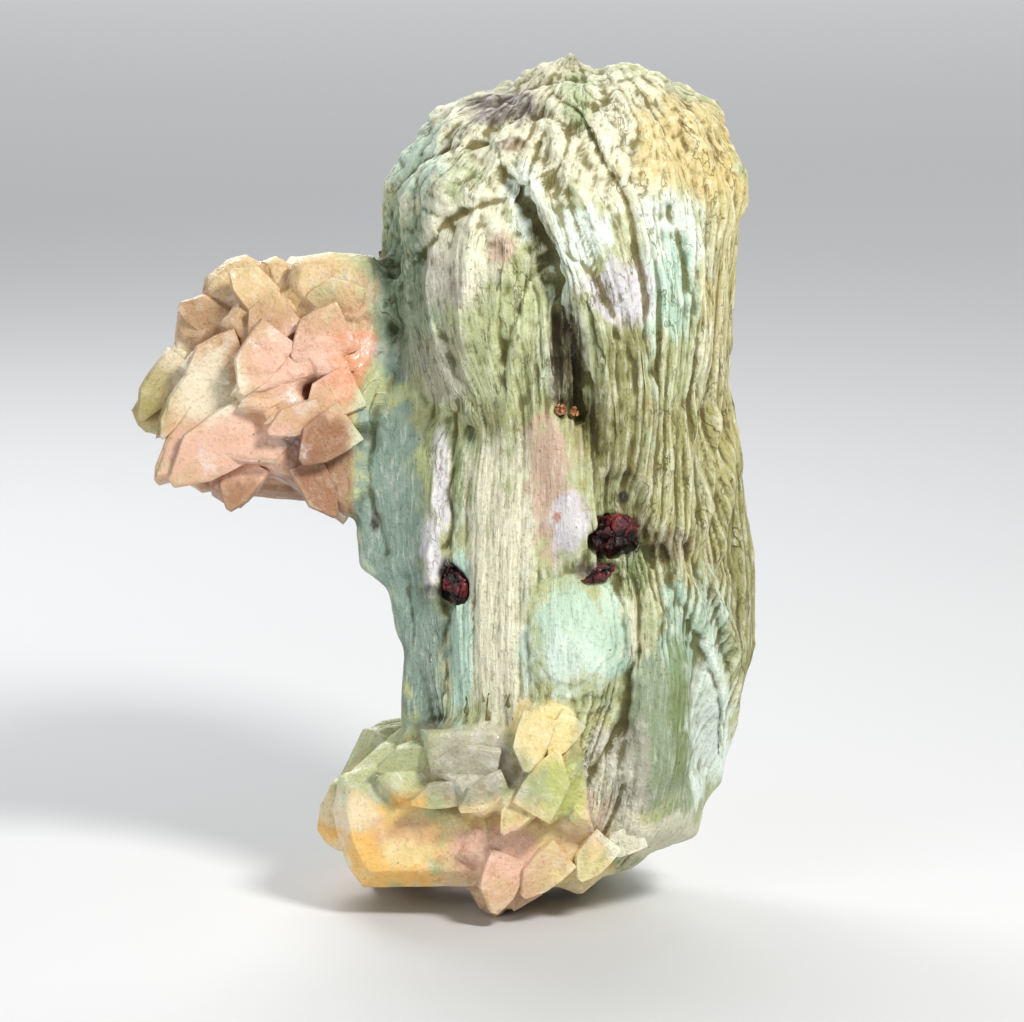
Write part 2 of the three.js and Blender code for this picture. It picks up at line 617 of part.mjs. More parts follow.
function crystalMass() {
  const trunk = solidOf(core()).subtract(solidOf(frontStrand(CLEFT)));
  const lobes = [LEFT_LOBE, RIGHT_LOBE].flat().map((row) => frontStrand({ ...row, sides: 5, rows: 5 }));
  const blades = [CLEFT_FOLDS, MIDDLE_PANEL, RIGHT_STRANDS].flat().map((row) => frontStrand(row));
  const lumps = [FACE_LUMPS, CLUSTER_MASS, crownCrumples()].flat();
  const tablets = [SIDE_PLATES, CLUSTER_CRYSTALS, FOOT_CRYSTALS].flat();
  const grown = join([
    trunk,
    ...[lobes, blades, backStrands().map(strand)].flat().map(solidOf),
    ...lumps.map((row) => solidOf(lump(row))),
    ...tablets.map((row) => solidOf(tablet(row))),
  ]);
  const pockets = GRAINS.map((grain) => solidOf(lump({ ...grain, clearance: POCKET_GAP })));
  const plain = grown.asOriginal().simplify(FINEST_DETAIL);
  return pockets.reduce((whole, pocket) => whole.subtract(pocket), plain);
}

// Crystals that cross close off small hollows between them. Only the outer surface is kept.
function outerSurface(solid) {
  return solid.decompose().reduce((largest, piece) => (piece.volume() > largest.volume() ? piece : largest));
}

// Cuts off what is below the resting plane, which leaves the flats that it stands on.
function restFlat(solid) {
  const size = 400;
  const ground = new THREE.BoxGeometry(size, size, size).translate(0, 0, REST_HEIGHT - size / 2);
  return solid.subtract(manifoldOf(ground));
}

function geometryOf(solid) {
  const { vertProperties, triVerts } = solid.getMesh();
  return new THREE.BufferGeometry()
    .setAttribute("position", new THREE.BufferAttribute(vertProperties, 3))
    .setIndex(new THREE.BufferAttribute(triVerts, 1));
}

const massGeometry = geometryOf(outerSurface(restFlat(crystalMass())));
massGeometry.computeBoundingBox();
const { min, max } = massGeometry.boundingBox;

// The origin is the middle of the bounding box, on the plane that the specimen stands on.
const specimen = new THREE.Group();
specimen.position.set(-(min.x + max.x) / 2, -(min.y + max.y) / 2, -min.z);

const mass = new THREE.Mesh(massGeometry, green);
mass.name = "heulandite_cluster";
specimen.add(mass);

for (const grain of GRAINS) {
  const mesh = new THREE.Mesh(geometryOf(solidOf(lump(grain))), grain.material);
  mesh.name = grain.name;
  specimen.add(mesh);
}

export default specimen;
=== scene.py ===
# %% [markdown]
# A heulandite specimen, dressed for rendering
#
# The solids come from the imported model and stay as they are. This lesson copies them, adds the fine
# relief that the solids leave out, and paints them. Lengths are worked out in millimetres on the
# drawing and turned into metres at the end, because the frame is in metres.

# %% Load the frame
import itertools
import math
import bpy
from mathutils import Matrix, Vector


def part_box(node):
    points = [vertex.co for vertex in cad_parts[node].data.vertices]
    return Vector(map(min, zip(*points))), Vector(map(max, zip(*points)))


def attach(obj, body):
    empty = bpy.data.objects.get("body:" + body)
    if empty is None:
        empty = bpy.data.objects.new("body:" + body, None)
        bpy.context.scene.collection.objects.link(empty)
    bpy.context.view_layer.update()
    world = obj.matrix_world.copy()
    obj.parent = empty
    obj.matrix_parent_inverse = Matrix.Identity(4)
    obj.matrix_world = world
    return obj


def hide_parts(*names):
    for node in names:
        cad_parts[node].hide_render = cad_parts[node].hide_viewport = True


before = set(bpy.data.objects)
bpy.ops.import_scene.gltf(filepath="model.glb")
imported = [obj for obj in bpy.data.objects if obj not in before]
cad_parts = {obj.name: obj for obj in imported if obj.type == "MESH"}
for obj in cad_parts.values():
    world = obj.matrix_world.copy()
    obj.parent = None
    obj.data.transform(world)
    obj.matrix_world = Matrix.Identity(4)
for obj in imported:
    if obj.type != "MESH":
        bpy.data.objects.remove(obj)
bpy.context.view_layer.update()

from types import SimpleNamespace

import bpy
import numpy as np
from mathutils import Matrix, Vector
from mathutils.kdtree import KDTree

MM = 0.001

# %% [markdown]
# The drawing frame
#
# The specimen was drawn on a plane that leans back by ten degrees, as the camera saw it: u goes to the
# right, v up the face and w towards the viewer, all in millimetres. Working in these coordinates makes
# it easy to say where on the face a fold or a colour is.

# %% From the drawing to the world and back
LEAN = math.radians(10)
DRAWING_ZERO = np.array([0.2037, -8.4286, -0.9])


def place(u, v, w):
    """The place in metres of a point on the drawing."""
    y = v * math.sin(LEAN) - w * math.cos(LEAN)
    z = v * math.cos(LEAN) + w * math.sin(LEAN)
    return Vector((np.array([u, y, z]) + DRAWING_ZERO) * MM)


def direction(u, v, w):
    """A direction on the drawing as one in the world."""
    return (place(u, v, w) - place(0, 0, 0)).normalized()


def drawn(points):
    """The drawing's u, v and w of an array of places in metres."""
    x, y, z = (points / MM - DRAWING_ZERO).T
    v = z * math.cos(LEAN) + y * math.sin(LEAN)
    w = z * math.sin(LEAN) - y * math.cos(LEAN)
    return x, v, w


print("The drawing's zero is at", tuple(round(c, 4) for c in place(0, 0, 0)))

# %% [markdown]
# The camera
#
# The photograph is taken from a little above the middle with a long lens, so lines hardly converge. A
# long lens far away gives the same look. The camera stays where it is, and nothing is out of focus.

# %% Camera
VIEW_WIDTH = 102.4
VIEW_MIDDLE = (6.7, 40.4, 5.0)
LENS = 180
SENSOR = 36
NEAREST_SEEN = 0.01
FURTHEST_SEEN = 20


def add_camera():
    data = bpy.data.cameras.new("camera")
    data.lens = LENS
    data.sensor_width = SENSOR
    data.clip_start = NEAREST_SEEN
    data.clip_end = FURTHEST_SEEN
    camera = bpy.data.objects.new("camera", data)
    bpy.context.scene.collection.objects.link(camera)
    back = direction(0, 0, 1)
    camera.location = place(*VIEW_MIDDLE) + back * (VIEW_WIDTH * MM * LENS / SENSOR)
    camera.rotation_euler = (-back).to_track_quat("-Z", "Y").to_euler()
    bpy.context.scene.camera = camera
    return camera


camera = add_camera()
print("Camera at", tuple(round(c, 3) for c in camera.location))

# %% [markdown]
# The studio
#
# Crystals show their relief only in light that comes from one side, so one large soft lamp stands high
# on the right, a weaker one fills the shadows from the left, and a third picks out the rims from
# behind. A wide lamp far behind keeps the floor pale up to the top of the picture.

# %% Floor, world and lamps
FLOOR_SIZE = 9
PALE = (0.62, 0.63, 0.64, 1)
PAPER_ROUGHNESS = 0.9
SKY = (0.72, 0.74, 0.77, 1)
SKY_STRENGTH = 0.3
# Places from the middle of the view and sizes in mm on the drawing, and power in watts.
LAMPS = {
    "key": {"from": (210, 250, 300), "size": 110, "power": 2.0, "color": (1.0, 0.97, 0.92)},
    "fill": {"from": (-260, 20, 300), "size": 240, "power": 0.42, "color": (0.95, 0.98, 1.0)},
    "rim": {"from": (-160, 300, -200), "size": 180, "power": 0.8, "color": (1.0, 1.0, 1.0)},
    "backdrop": {"from": (0, 1900, -2600), "size": 2600, "power": 60, "color": (1.0, 1.0, 1.0)},
}


def plain_material(name, color, roughness):
    material = bpy.data.materials.new(name)
    material.use_nodes = True
    shader = material.node_tree.nodes["Principled BSDF"]
    shader.inputs["Base Color"].default_value = color
    shader.inputs["Roughness"].default_value = roughness
    return material


def add_floor():
    bpy.ops.mesh.primitive_plane_add(size=FLOOR_SIZE, location=(0, 0, 0))
    floor = bpy.context.object
    floor.name = "floor"
    floor.data.materials.append(plain_material("floor_paper", PALE, PAPER_ROUGHNESS))


def add_world():
    world = bpy.data.worlds.new("soft_sky")
    world.use_nodes = True
    background = world.node_tree.nodes["Background"]
    background.inputs["Color"].default_value = SKY
    background.inputs["Strength"].default_value = SKY_STRENGTH
    bpy.context.scene.world = world


def add_lamp(name, lamp):
    data = bpy.data.lights.new(name, "AREA")
    data.shape = "DISK"
    data.size = lamp["size"] * MM
    data.energy = lamp["power"]
    data.color = lamp["color"]
    light = bpy.data.objects.new(name, data)
    bpy.context.scene.collection.objects.link(light)
    aim = place(*VIEW_MIDDLE)
    light.location = aim + place(*lamp["from"]) - place(0, 0, 0)
    light.rotation_euler = (aim - light.location).to_track_quat("-Z", "Y").to_euler()


add_floor()
add_world()
for name, lamp in LAMPS.items():
    add_lamp(name, lamp)
bpy.context.scene.view_settings.view_transform = "Standard"
print("Studio with", len(LAMPS), "lamps")

# %% [markdown]
# Chance patterns
#
# Natural relief never repeats, but a lesson has to give the same result on each run. A lattice of fixed
# chance numbers does both: each whole-numbered cell always gets the same number, and smooth steps
# between the cells make rolling noise. Distances to one scattered point per cell make rounded cells,
# which is what a crumpled crown of tiny crystals looks like.

# %% Noise on a lattice
PRIMES = (73856093, 19349663, 83492791)
FIRST_NUMBER = 2654435761
STIRRER = np.uint64(0x9E3779B97F4A7C15)
STIR_SHIFT = np.uint64(29)
SPARE_BITS = np.uint64(11)
KEPT_BITS = 53
FAR_AWAY = 99.0


def chance(*cells, seed=0):
    """A fixed chance number from 0 to 1 for each whole-numbered cell."""
    mixed = np.full(np.shape(cells[0]), FIRST_NUMBER * (seed + 1) % 2**32, dtype=np.uint64)
    for cell, prime in zip(cells, PRIMES):
        mixed ^= np.asarray(cell).astype(np.int64).astype(np.uint64) * np.uint64(prime)
        mixed *= STIRRER
        mixed ^= mixed >> STIR_SHIFT
    return (mixed >> SPARE_BITS).astype(float) / 2**KEPT_BITS


def noise(*axes, seed=0):
    """Rolling noise from -1 to 1 over one to three coordinates."""
    floors = [np.floor(axis) for axis in axes]
    steps = [(axis - low) ** 2 * (3 - 2 * (axis - low)) for axis, low in zip(axes, floors)]
    total = 0
    for corner in itertools.product((0, 1), repeat=len(axes)):
        weight = 1
        for side, step in zip(corner, steps):
            weight = weight * (step if side else 1 - step)
        cell = (low + side for low, side in zip(floors, corner))
        total = total + weight * chance(*cell, seed=seed)
    return 2 * total - 1


def layered(*axes, seed=0, layers=3):
    """Noise with finer and weaker noise on top of it."""
    sizes = [2**layer for layer in range(layers)]
    sums = [noise(*(axis * size for axis in axes), seed=seed + size) / size for size in sizes]
    return sum(sums) / sum(1 / size for size in sizes)


def rounded_cells(x, y, z, seed=0):
    """The distance to the nearest scattered point, and how much further the next one is."""
    floors = [np.floor(axis) for axis in (x, y, z)]
    nearest = np.full(x.shape, FAR_AWAY)
    second = np.full(x.shape, FAR_AWAY)
    for offset in itertools.product((-1, 0, 1), repeat=3):
        cell = [low + step for low, step in zip(floors, offset)]
        gap = sum(
            (low + chance(*cell, seed=seed + axis) - at) ** 2
            for axis, (low, at) in enumerate(zip(cell, (x, y, z)))
        )
        second = np.minimum(second, np.maximum(nearest, gap))
        nearest = np.minimum(nearest, gap)
    return np.sqrt(nearest), np.sqrt(second) - np.sqrt(nearest)


def ramp(value, low, high):
    """A smooth step from 0 at low to 1 at high."""
    share = np.clip((value - low) / (high - low), 0, 1)
    return share * share * (3 - 2 * share)


print("Noise at (0.5, 0.5):", float(noise(np.array([0.5]), np.array([0.5]))[0]))

# %% [markdown]
# How the blades run
#
# The sheaf is a fan of thin curved blades. They spring from the crown, part like combed hair over the
# two lobes, draw together at the waist and run down to the foot. A few lines drawn one by one say where
# they go: each row is a height up the face, and gives where every line crosses it. The number of the
# line that a point is on then tells it across the blades, whatever way they turn.

# %% Lines of growth
LINE_ROWS = {
    85.5: (7.5, 8.5, 9.5, 10.3, 11.1, 11.8, 12.5, 13.2, 14.0, 15.2, 16.5, 18.0, 20.0, 22.0, 24.5, 26.5),
    81.5: (-1.5, 0.5, 2.5, 4.5, 6.3, 7.7, 8.7, 9.7, 11.0, 13.0, 15.5, 18.7, 22.3, 25.5, 28.3, 30.0),
    76.5: (-6.0, -3.7, -1.3, 1.1, 3.5, 5.5, 7.0, 8.0, 9.0, 11.5, 14.5, 18.5, 22.7, 26.3, 29.7, 31.5),
    71.5: (-7.1, -5.3, -3.3, -1.1, 1.1, 3.5, 5.8, 7.3, 8.1, 10.0, 12.7, 17.5, 22.5, 26.3, 29.5, 31.3),
    66.5: (-6.9, -5.3, -3.5, -1.7, 0.1, 2.3, 5.0, 7.7, 10.0, 11.7, 14.5, 19.0, 23.3, 26.5, 29.3, 31.0),
    61.5: (-6.5, -5.0, -3.3, -1.7, 0.0, 2.0, 4.7, 8.3, 11.5, 13.3, 16.3, 20.3, 24.0, 26.7, 29.0, 30.7),
    56.5: (-6.2, -4.7, -3.0, -1.3, 0.3, 2.3, 5.0, 8.3, 11.3, 14.0, 17.5, 21.0, 24.3, 26.7, 29.0, 31.0),
    51.5: (-6.0, -4.5, -2.0, 0.3, 1.7, 3.3, 5.5, 8.5, 11.5, 14.5, 18.0, 21.5, 24.5, 27.0, 29.3, 31.5),
    46.5: (-8.5, -6.0, -3.5, -0.7, 1.0, 3.0, 5.5, 8.5, 11.3, 14.5, 18.3, 21.7, 24.7, 27.1, 29.5, 31.7),
    41.5: (-8.8, -6.2, -3.7, -1.3, 0.5, 2.7, 5.3, 8.5, 11.5, 14.7, 18.5, 21.5, 24.5, 27.0, 29.7, 32.0),
    36.5: (-8.8, -6.1, -3.7, -1.5, 0.3, 2.5, 5.1, 8.3, 11.7, 15.5, 19.5, 22.0, 24.5, 27.0, 30.0, 32.3),
    31.5: (-7.5, -5.5, -3.5, -1.7, 0.0, 2.3, 4.9, 8.1, 12.1, 16.5, 20.0, 22.3, 24.7, 27.3, 30.3, 32.3),
    26.5: (-6.5, -4.7, -3.1, -1.5, 0.1, 2.3, 4.9, 8.1, 12.5, 17.0, 19.5, 21.7, 24.5, 27.5, 30.5, 32.3),
    21.5: (-5.0, -4.0, -2.7, -1.3, 0.3, 2.5, 4.9, 8.5, 13.0, 16.7, 18.7, 21.0, 24.0, 27.3, 30.0, 32.0),
    16.5: (-5.0, -4.0, -2.7, -1.3, 0.3, 2.5, 4.9, 8.5, 11.5, 14.0, 16.0, 18.5, 22.0, 25.5, 28.5, 30.5),
    11.5: (-4.0, -3.0, -2.0, -1.0, 0.5, 2.5, 4.9, 8.0, 11.0, 13.0, 15.0, 17.5, 20.5, 24.0, 27.0, 29.0),
    4.0: (-2.0, -1.0, 0.0, 1.0, 2.0, 3.5, 5.5, 8.0, 10.0, 11.5, 13.5, 15.5, 18.5, 20.5, 22.5, 24.5),
}
LINES = len(LINE_ROWS[85.5])
SHEAF_MIDDLE = 12.2
SHEAF_REACH = 20.5
SHEAF_DEPTH = -2.0
LINES_PER_RADIAN = 9


def lines_at(v):
    """Where each line crosses the heights v: one row of places per line."""
    heights = np.array(sorted(LINE_ROWS))
    table = np.array([LINE_ROWS[height] for height in heights])
    return np.array([np.interp(v, heights, table[:, line]) for line in range(LINES)])


def turn_about_sheaf(u, w):
    """The angle round the sheaf, from 0 at the front to plus or minus half a turn at the back."""
    return np.arctan2(u - SHEAF_MIDDLE, w - SHEAF_DEPTH)


def across_blades(u, v, w):
    """The number of the growth line that each point is on, with the same fan mirrored at the back."""
    lines = lines_at(v)
    turns = np.arcsin(np.clip((lines - SHEAF_MIDDLE) / SHEAF_REACH, -1, 1))
    turn = turn_about_sheaf(u, w)
    behind = np.abs(turn) > math.pi / 2
    facing = np.where(behind, np.sign(turn) * math.pi - turn, turn)
    number = np.zeros(u.shape)
    for line in range(LINES - 1):
        low, high = turns[line], turns[line + 1]
        share = (facing - low) / np.maximum(high - low, 1e-3)
        if line > 0:
            share = np.maximum(share, 0)
        if line < LINES - 2:
            share = np.minimum(share, 1)
        number = number + share
    return np.where(behind, 2 * LINES - number, number)


print(LINES, "growth lines, given at", len(LINE_ROWS), "heights")

# %% [markdown]
# Copies to work on
#
# The solid has flat facets, while the real sheaf is a mass of fine curved blades. Every visible piece
# starts as a copy of a solid, whose triangles are loose and are merged first. Modifiers give it the
# mesh that it needs, and its points are then read and moved as one array, which is much quicker than
# one by one.

# %% Tools for modelling
MERGE_REACH = 1e-7


def select_only(piece):
    """Nothing but this piece is selected and active."""
    bpy.ops.object.select_all(action="DESELECT")
    piece.select_set(True)
    bpy.context.view_layer.objects.active = piece


def merged_copy(node_name, name):
    """A copy of a node with its loose triangles merged."""
    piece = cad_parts[node_name].copy()
    piece.data = piece.data.copy()
    piece.parent = None
    for key in list(piece.keys()):
        del piece[key]
    piece.name = name
    piece.data.materials.clear()
    bpy.context.scene.collection.objects.link(piece)
    select_only(piece)
    bpy.ops.object.mode_set(mode="EDIT")
    bpy.ops.mesh.select_all(action="SELECT")
    bpy.ops.mesh.remove_doubles(threshold=MERGE_REACH)
    bpy.ops.object.mode_set(mode="OBJECT")
    return piece


def apply_modifier(piece, kind, **settings):
    """Adds a modifier with these settings and applies it at once."""
    select_only(piece)
    modifier = piece.modifiers.new(kind.lower(), kind)
    for key, value in settings.items():
        setattr(modifier, key, value)
    bpy.ops.object.modifier_apply(modifier=modifier.name)


def places_of(piece):
    """The places of all points, one row each, in metres."""
    flat = np.zeros(len(piece.data.vertices) * 3)
    piece.data.vertices.foreach_get("co", flat)
    return flat.reshape(-1, 3)


def move_to(piece, points):
    """Every point is put at its new place."""
    piece.data.vertices.foreach_set("co", points.ravel())
    piece.data.update()


def normals_of(piece):
    """The way that the skin faces at each point."""
    flat = np.zeros(len(piece.data.vertices) * 3)
    piece.data.vertex_normals.foreach_get("vector", flat)
    return flat.reshape(-1, 3)


def triangles_of(piece):
    return sum(len(face.vertices) - 2 for face in piece.data.polygons)


print(len(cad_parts), "nodes can be copied")

# %% [markdown]
# Zones of the specimen
#
# Three habits of growth meet here: the blades of the sheaf, the wedge crystals of the side cluster and
# the blocks of the foot. Each wants its own relief, so soft masks from 0 to 1 say how much a point
# belongs to each.

# %% Masks of the zones
# Where the blocks of the foot end: places across, and how high the blocks reach there.
FOOT_ACROSS = (-12, -5, -4, 6.5, 7.5, 13, 14.5, 17, 19)
FOOT_TOPS = (20, 17.5, 19.2, 19.2, 22.0, 21.5, 10, 5, -3)
CLUSTER_EDGE = -9.3
CLUSTER_FOOT = (36, 38.5)


def oval(u, v, at_u, at_v, half_u, half_v, tilt=0.0):
    """The distance from the middle of a tilted oval, where 1 is its rim."""
    turn = math.radians(tilt)
    across = (u - at_u) * math.cos(turn) + (v - at_v) * math.sin(turn)
    along = (v - at_v) * math.cos(turn) - (u - at_u) * math.sin(turn)
    return np.hypot(across / half_u, along / half_v)


def cluster_mask(u, v, w):
    """1 on the side cluster, 0 on the sheaf."""
    edge = CLUSTER_EDGE + 2.6 * ramp(v, 50, 58)
    return ramp(edge - u, -0.6, 0.6) * ramp(v, *CLUSTER_FOOT)


def foot_mask(u, v, w):
    """1 on the blocks of the foot, 0 above them."""
    return ramp(np.interp(u, FOOT_ACROSS, FOOT_TOPS) - v, -0.5, 0.5)


def upright_mask(u, v, w):
    """1 where the grain runs straight down: on the plates at the left and low on the right."""
    left = (1 - ramp(u, -3, -1)) * (1 - ramp(v, 53, 59))
    top = 30 + 14 * ramp(u, 22, 26)
    right = ramp(u, 16, 18.5) * (1 - ramp(v, top - 3, top + 3))
    return np.maximum(left, right)


def crown_mask(u, v, w):
    """1 on the crumpled crown, 0 where the blades run free."""
    edge = 62 + 0.22 * u - 0.12 * np.minimum(w, 8)
    return ramp(v + 2 * noise(u / 5, v / 5, w / 5, seed=3), edge, edge + 11)


def grown_mask(u, v, w):
    """1 on the crystals of the side cluster and the foot, 0 on the sheaf."""
    return np.maximum(cluster_mask(u, v, w), foot_mask(u, v, w))


print("The foot reaches up to", max(FOOT_TOPS), "mm on the drawing")

# %% [markdown]
# The body of the sheaf
#
# Relief can only be as fine as the mesh, so the copy gets a skin of small squares all over. It is blown
# up a little and let down again, which closes the narrow gaps between blades that grow tight together.
# Smoothing rounds the facets off, by more on the left lobe than on the strands: a vertex group says how
# much. Under the crystals the skin is rounded too, so that it fills the gaps between them and lets
# their tips stand out. The pockets of the grains stay open.

# %% An even skin over the whole specimen
GRAIN_NODES = {
    "red_grain_right": "red_mineral",
    "red_grain_right_small": "red_mineral",
    "red_grain_left": "red_mineral",
    "orange_grain_left": "orange_mineral",
    "orange_grain_right": "orange_mineral",
}
SKIN = 0.26
COARSE_SKIN = 0.34
GAP_REACH = 0.55
ROUNDING_PASSES = 30
BURYING_PASSES = 22
CALM_PASSES = 100
SMOOTHING = 0.5
WEIGHT_STEPS = 10
POCKET_EDGE = 0.6
POCKET_FADE = 2.2
# Middle across and up, half width and half height of the zones where the face has no deep gaps.
CALM_ZONES = [
    (4.2, 33, 6.2, 18.5),
    (10.8, 42, 4.6, 10.5),
    (12.8, 27.5, 6.6, 8.5),
    (2.5, 61.5, 8, 11.5),
    (17.0, 47, 4.5, 6.5),
    (24.5, 20, 7, 16),
    (16.5, 13, 5, 9),
    (14.5, 20, 3.5, 5),
    (17.5, 63, 7, 9),
    (-4.0, 38, 4, 14),
    (-13.2, 58.2, 2.6, 2.6),
    (-12.8, 52.6, 3.0, 3.0),
    (26.0, 46, 6.0, 17),
    (26.5, 68, 5.0, 12),
]

body = merged_copy("heulandite_cluster", "sheaf")
apply_modifier(body, "REMESH", mode="VOXEL", voxel_size=COARSE_SKIN * MM, adaptivity=0)
apply_modifier(body, "DISPLACE", strength=GAP_REACH * MM, mid_level=0)
apply_modifier(body, "REMESH", mode="VOXEL", voxel_size=SKIN * MM, adaptivity=0)
apply_modifier(body, "DISPLACE", strength=-GAP_REACH * MM, mid_level=0)
print("Skin of", len(body.data.vertices), "points and", triangles_of(body), "triangles")


def group_from(piece, name, weights):
    """A vertex group with a weight for each point, in steps of a tenth."""
    group = piece.vertex_groups.new(name=name)
    steps = np.round(np.asarray(weights) * WEIGHT_STEPS).astype(int)
    for step in range(1, WEIGHT_STEPS + 1):
        members = np.flatnonzero(steps == step)
        if len(members):
            group.add(members.tolist(), step / WEIGHT_STEPS, "REPLACE")


def soft_mask(u, v, w):
    """How much the sheaf is rounded: fully on the left lobe and the crown, little on the strands."""
    left_lobe = ramp(v, 46, 52) * (1 - ramp(u, 8, 11))
    right_lobe = 0.55 * ramp(v, 52, 60) * ramp(u, 9, 12)
    crown = ramp(v, 68, 74)
    lower = 0.22 + 0.5 * (1 - ramp(u, 6, 9))
    return np.maximum.reduce([left_lobe, right_lobe, crown, lower * np.ones_like(u)])


def grain_middle(node_name):
    """Where a grain sits on the drawing, and how far it reaches."""
    low, high = (np.array(corner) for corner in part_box(node_name))
    at_u, at_v, at_w = drawn(np.array([(low + high) / 2]))
    return at_u[0], at_v[0], (high - low)[0] / 2 / MM


def beside_grains(u, v):
    """0 at the pockets of the grains, 1 away from them."""
    clear = 1.0
    for name in GRAIN_NODES:
        at_u, at_v, reach = grain_middle(name)
        away = np.hypot(u - at_u, v - at_v)
        clear = np.minimum(clear, ramp(away, reach + POCKET_EDGE, reach + POCKET_FADE))
    return clear


def calm_zones(u, v, w):
    """1 in the zones that are smoothed most."""
    zones = [1 - ramp(oval(u, v, *zone), 0.85, 1.15) for zone in CALM_ZONES]
    return np.maximum.reduce(zones) * ramp(w, -6, -1) * beside_grains(u, v)


u, v, w = drawn(places_of(body))
crisp = grown_mask(u, v, w)
group_from(body, "sheaf_only", (1 - crisp) * soft_mask(u, v, w))
group_from(body, "crystals_only", crisp)
apply_modifier(body, "SMOOTH", factor=SMOOTHING, iterations=ROUNDING_PASSES, vertex_group="sheaf_only")
apply_modifier(body, "SMOOTH", factor=SMOOTHING, iterations=BURYING_PASSES, vertex_group="crystals_only")
group_from(body, "calm", calm_zones(u, v, w))
apply_modifier(body, "SMOOTH", factor=SMOOTHING, iterations=CALM_PASSES, vertex_group="calm")
body.vertex_groups.clear()
print("Smoothed over", len(CALM_ZONES), "calm zones")

# %% [markdown]
# Relief of the sheaf
#
# Each blade is a thin sheet whose edge stands a little over its neighbour. Along the across number the
# edges make a saw-tooth with a rounded crest, and every tooth rises and sinks along its length by its
# own chance, so that no two blades look alike. The crown is built of rounded cells in two sizes, long
# ones that follow the lines of growth and small ones, with ridges over both. The creases that make the
# face of this specimen its own are drawn one by one.

# %% Relief of the blades
BLADE_EDGE = 0.72
# Middle across and up, half width and half height of ovals on the front.
SHIELD = (12.8, 28.3, 5.2, 6.4)
MIDDLE = (10.8, 42, 3.6, 8)


def blade_edges(across, along, per_line, length, seed):
    """Overlapping blades: heights from about -1 to 1."""
    number = across * per_line + 0.45 * noise(across * 0.8, along / 16, seed=seed)
    blade = np.floor(number)
    share = number - blade
    level = noise(blade * 7.31, along / length + blade * 3.7, seed=seed + 1)
    next_level = noise((blade + 1) * 7.31, along / length + (blade + 1) * 3.7, seed=seed + 1)
    fall = ramp(share, BLADE_EDGE, 1)
    crest = share**0.8 * (1 - fall)
    return (1 - fall) * level * 0.5 + fall * next_level * 0.5 + crest - 0.4


def calm_mask(u, v, w):
    """1 where the face is calm: the smooth column, the shield, the middle and the plates on the left."""
    column = ramp(u, 17.5, 20.0) * ramp(-v, -31, -24) * (1 - ramp(u, 27.5, 29))
    shield = 1 - ramp(oval(u, v, *SHIELD), 0.9, 1.15)
    middle = 1 - ramp(oval(u, v, *MIDDLE), 0.8, 1.2)
    plates = ramp(-u, 1.0, 2.6) * ramp(-v, -57, -50)
    return np.maximum.reduce([column, shield, middle, plates]) * ramp(w, -3, 2)


def blades_of(across, along):
    """The coarse blades with the middle ones on them, in mm."""
    coarse = 0.3 * blade_edges(across, along, 1.3, 9, seed=11)
    return coarse + 0.24 * blade_edges(across, along, 2.9, 6, seed=21)


print("A blade falls off over the last", round(1 - BLADE_EDGE, 2), "of its width")

# %% Creases on the front
def line_distance(u, v, line):
    """How far each point is from a line on the face, and above 0 on the line's left as one walks it."""
    nearest = np.full(u.shape, FAR_AWAY)
    sides = np.zeros(u.shape)
    for (u0, v0), (u1, v1) in zip(line, line[1:]):
        du, dv = u1 - u0, v1 - v0
        share = np.clip(((u - u0) * du + (v - v0) * dv) / (du * du + dv * dv), 0, 1)
        gap = np.hypot(u - u0 - share * du, v - v0 - share * dv)
        side = du * (v - v0) - dv * (u - u0)
        sides = np.where(gap < nearest, side, sides)
        nearest = np.minimum(nearest, gap)
    return nearest, sides


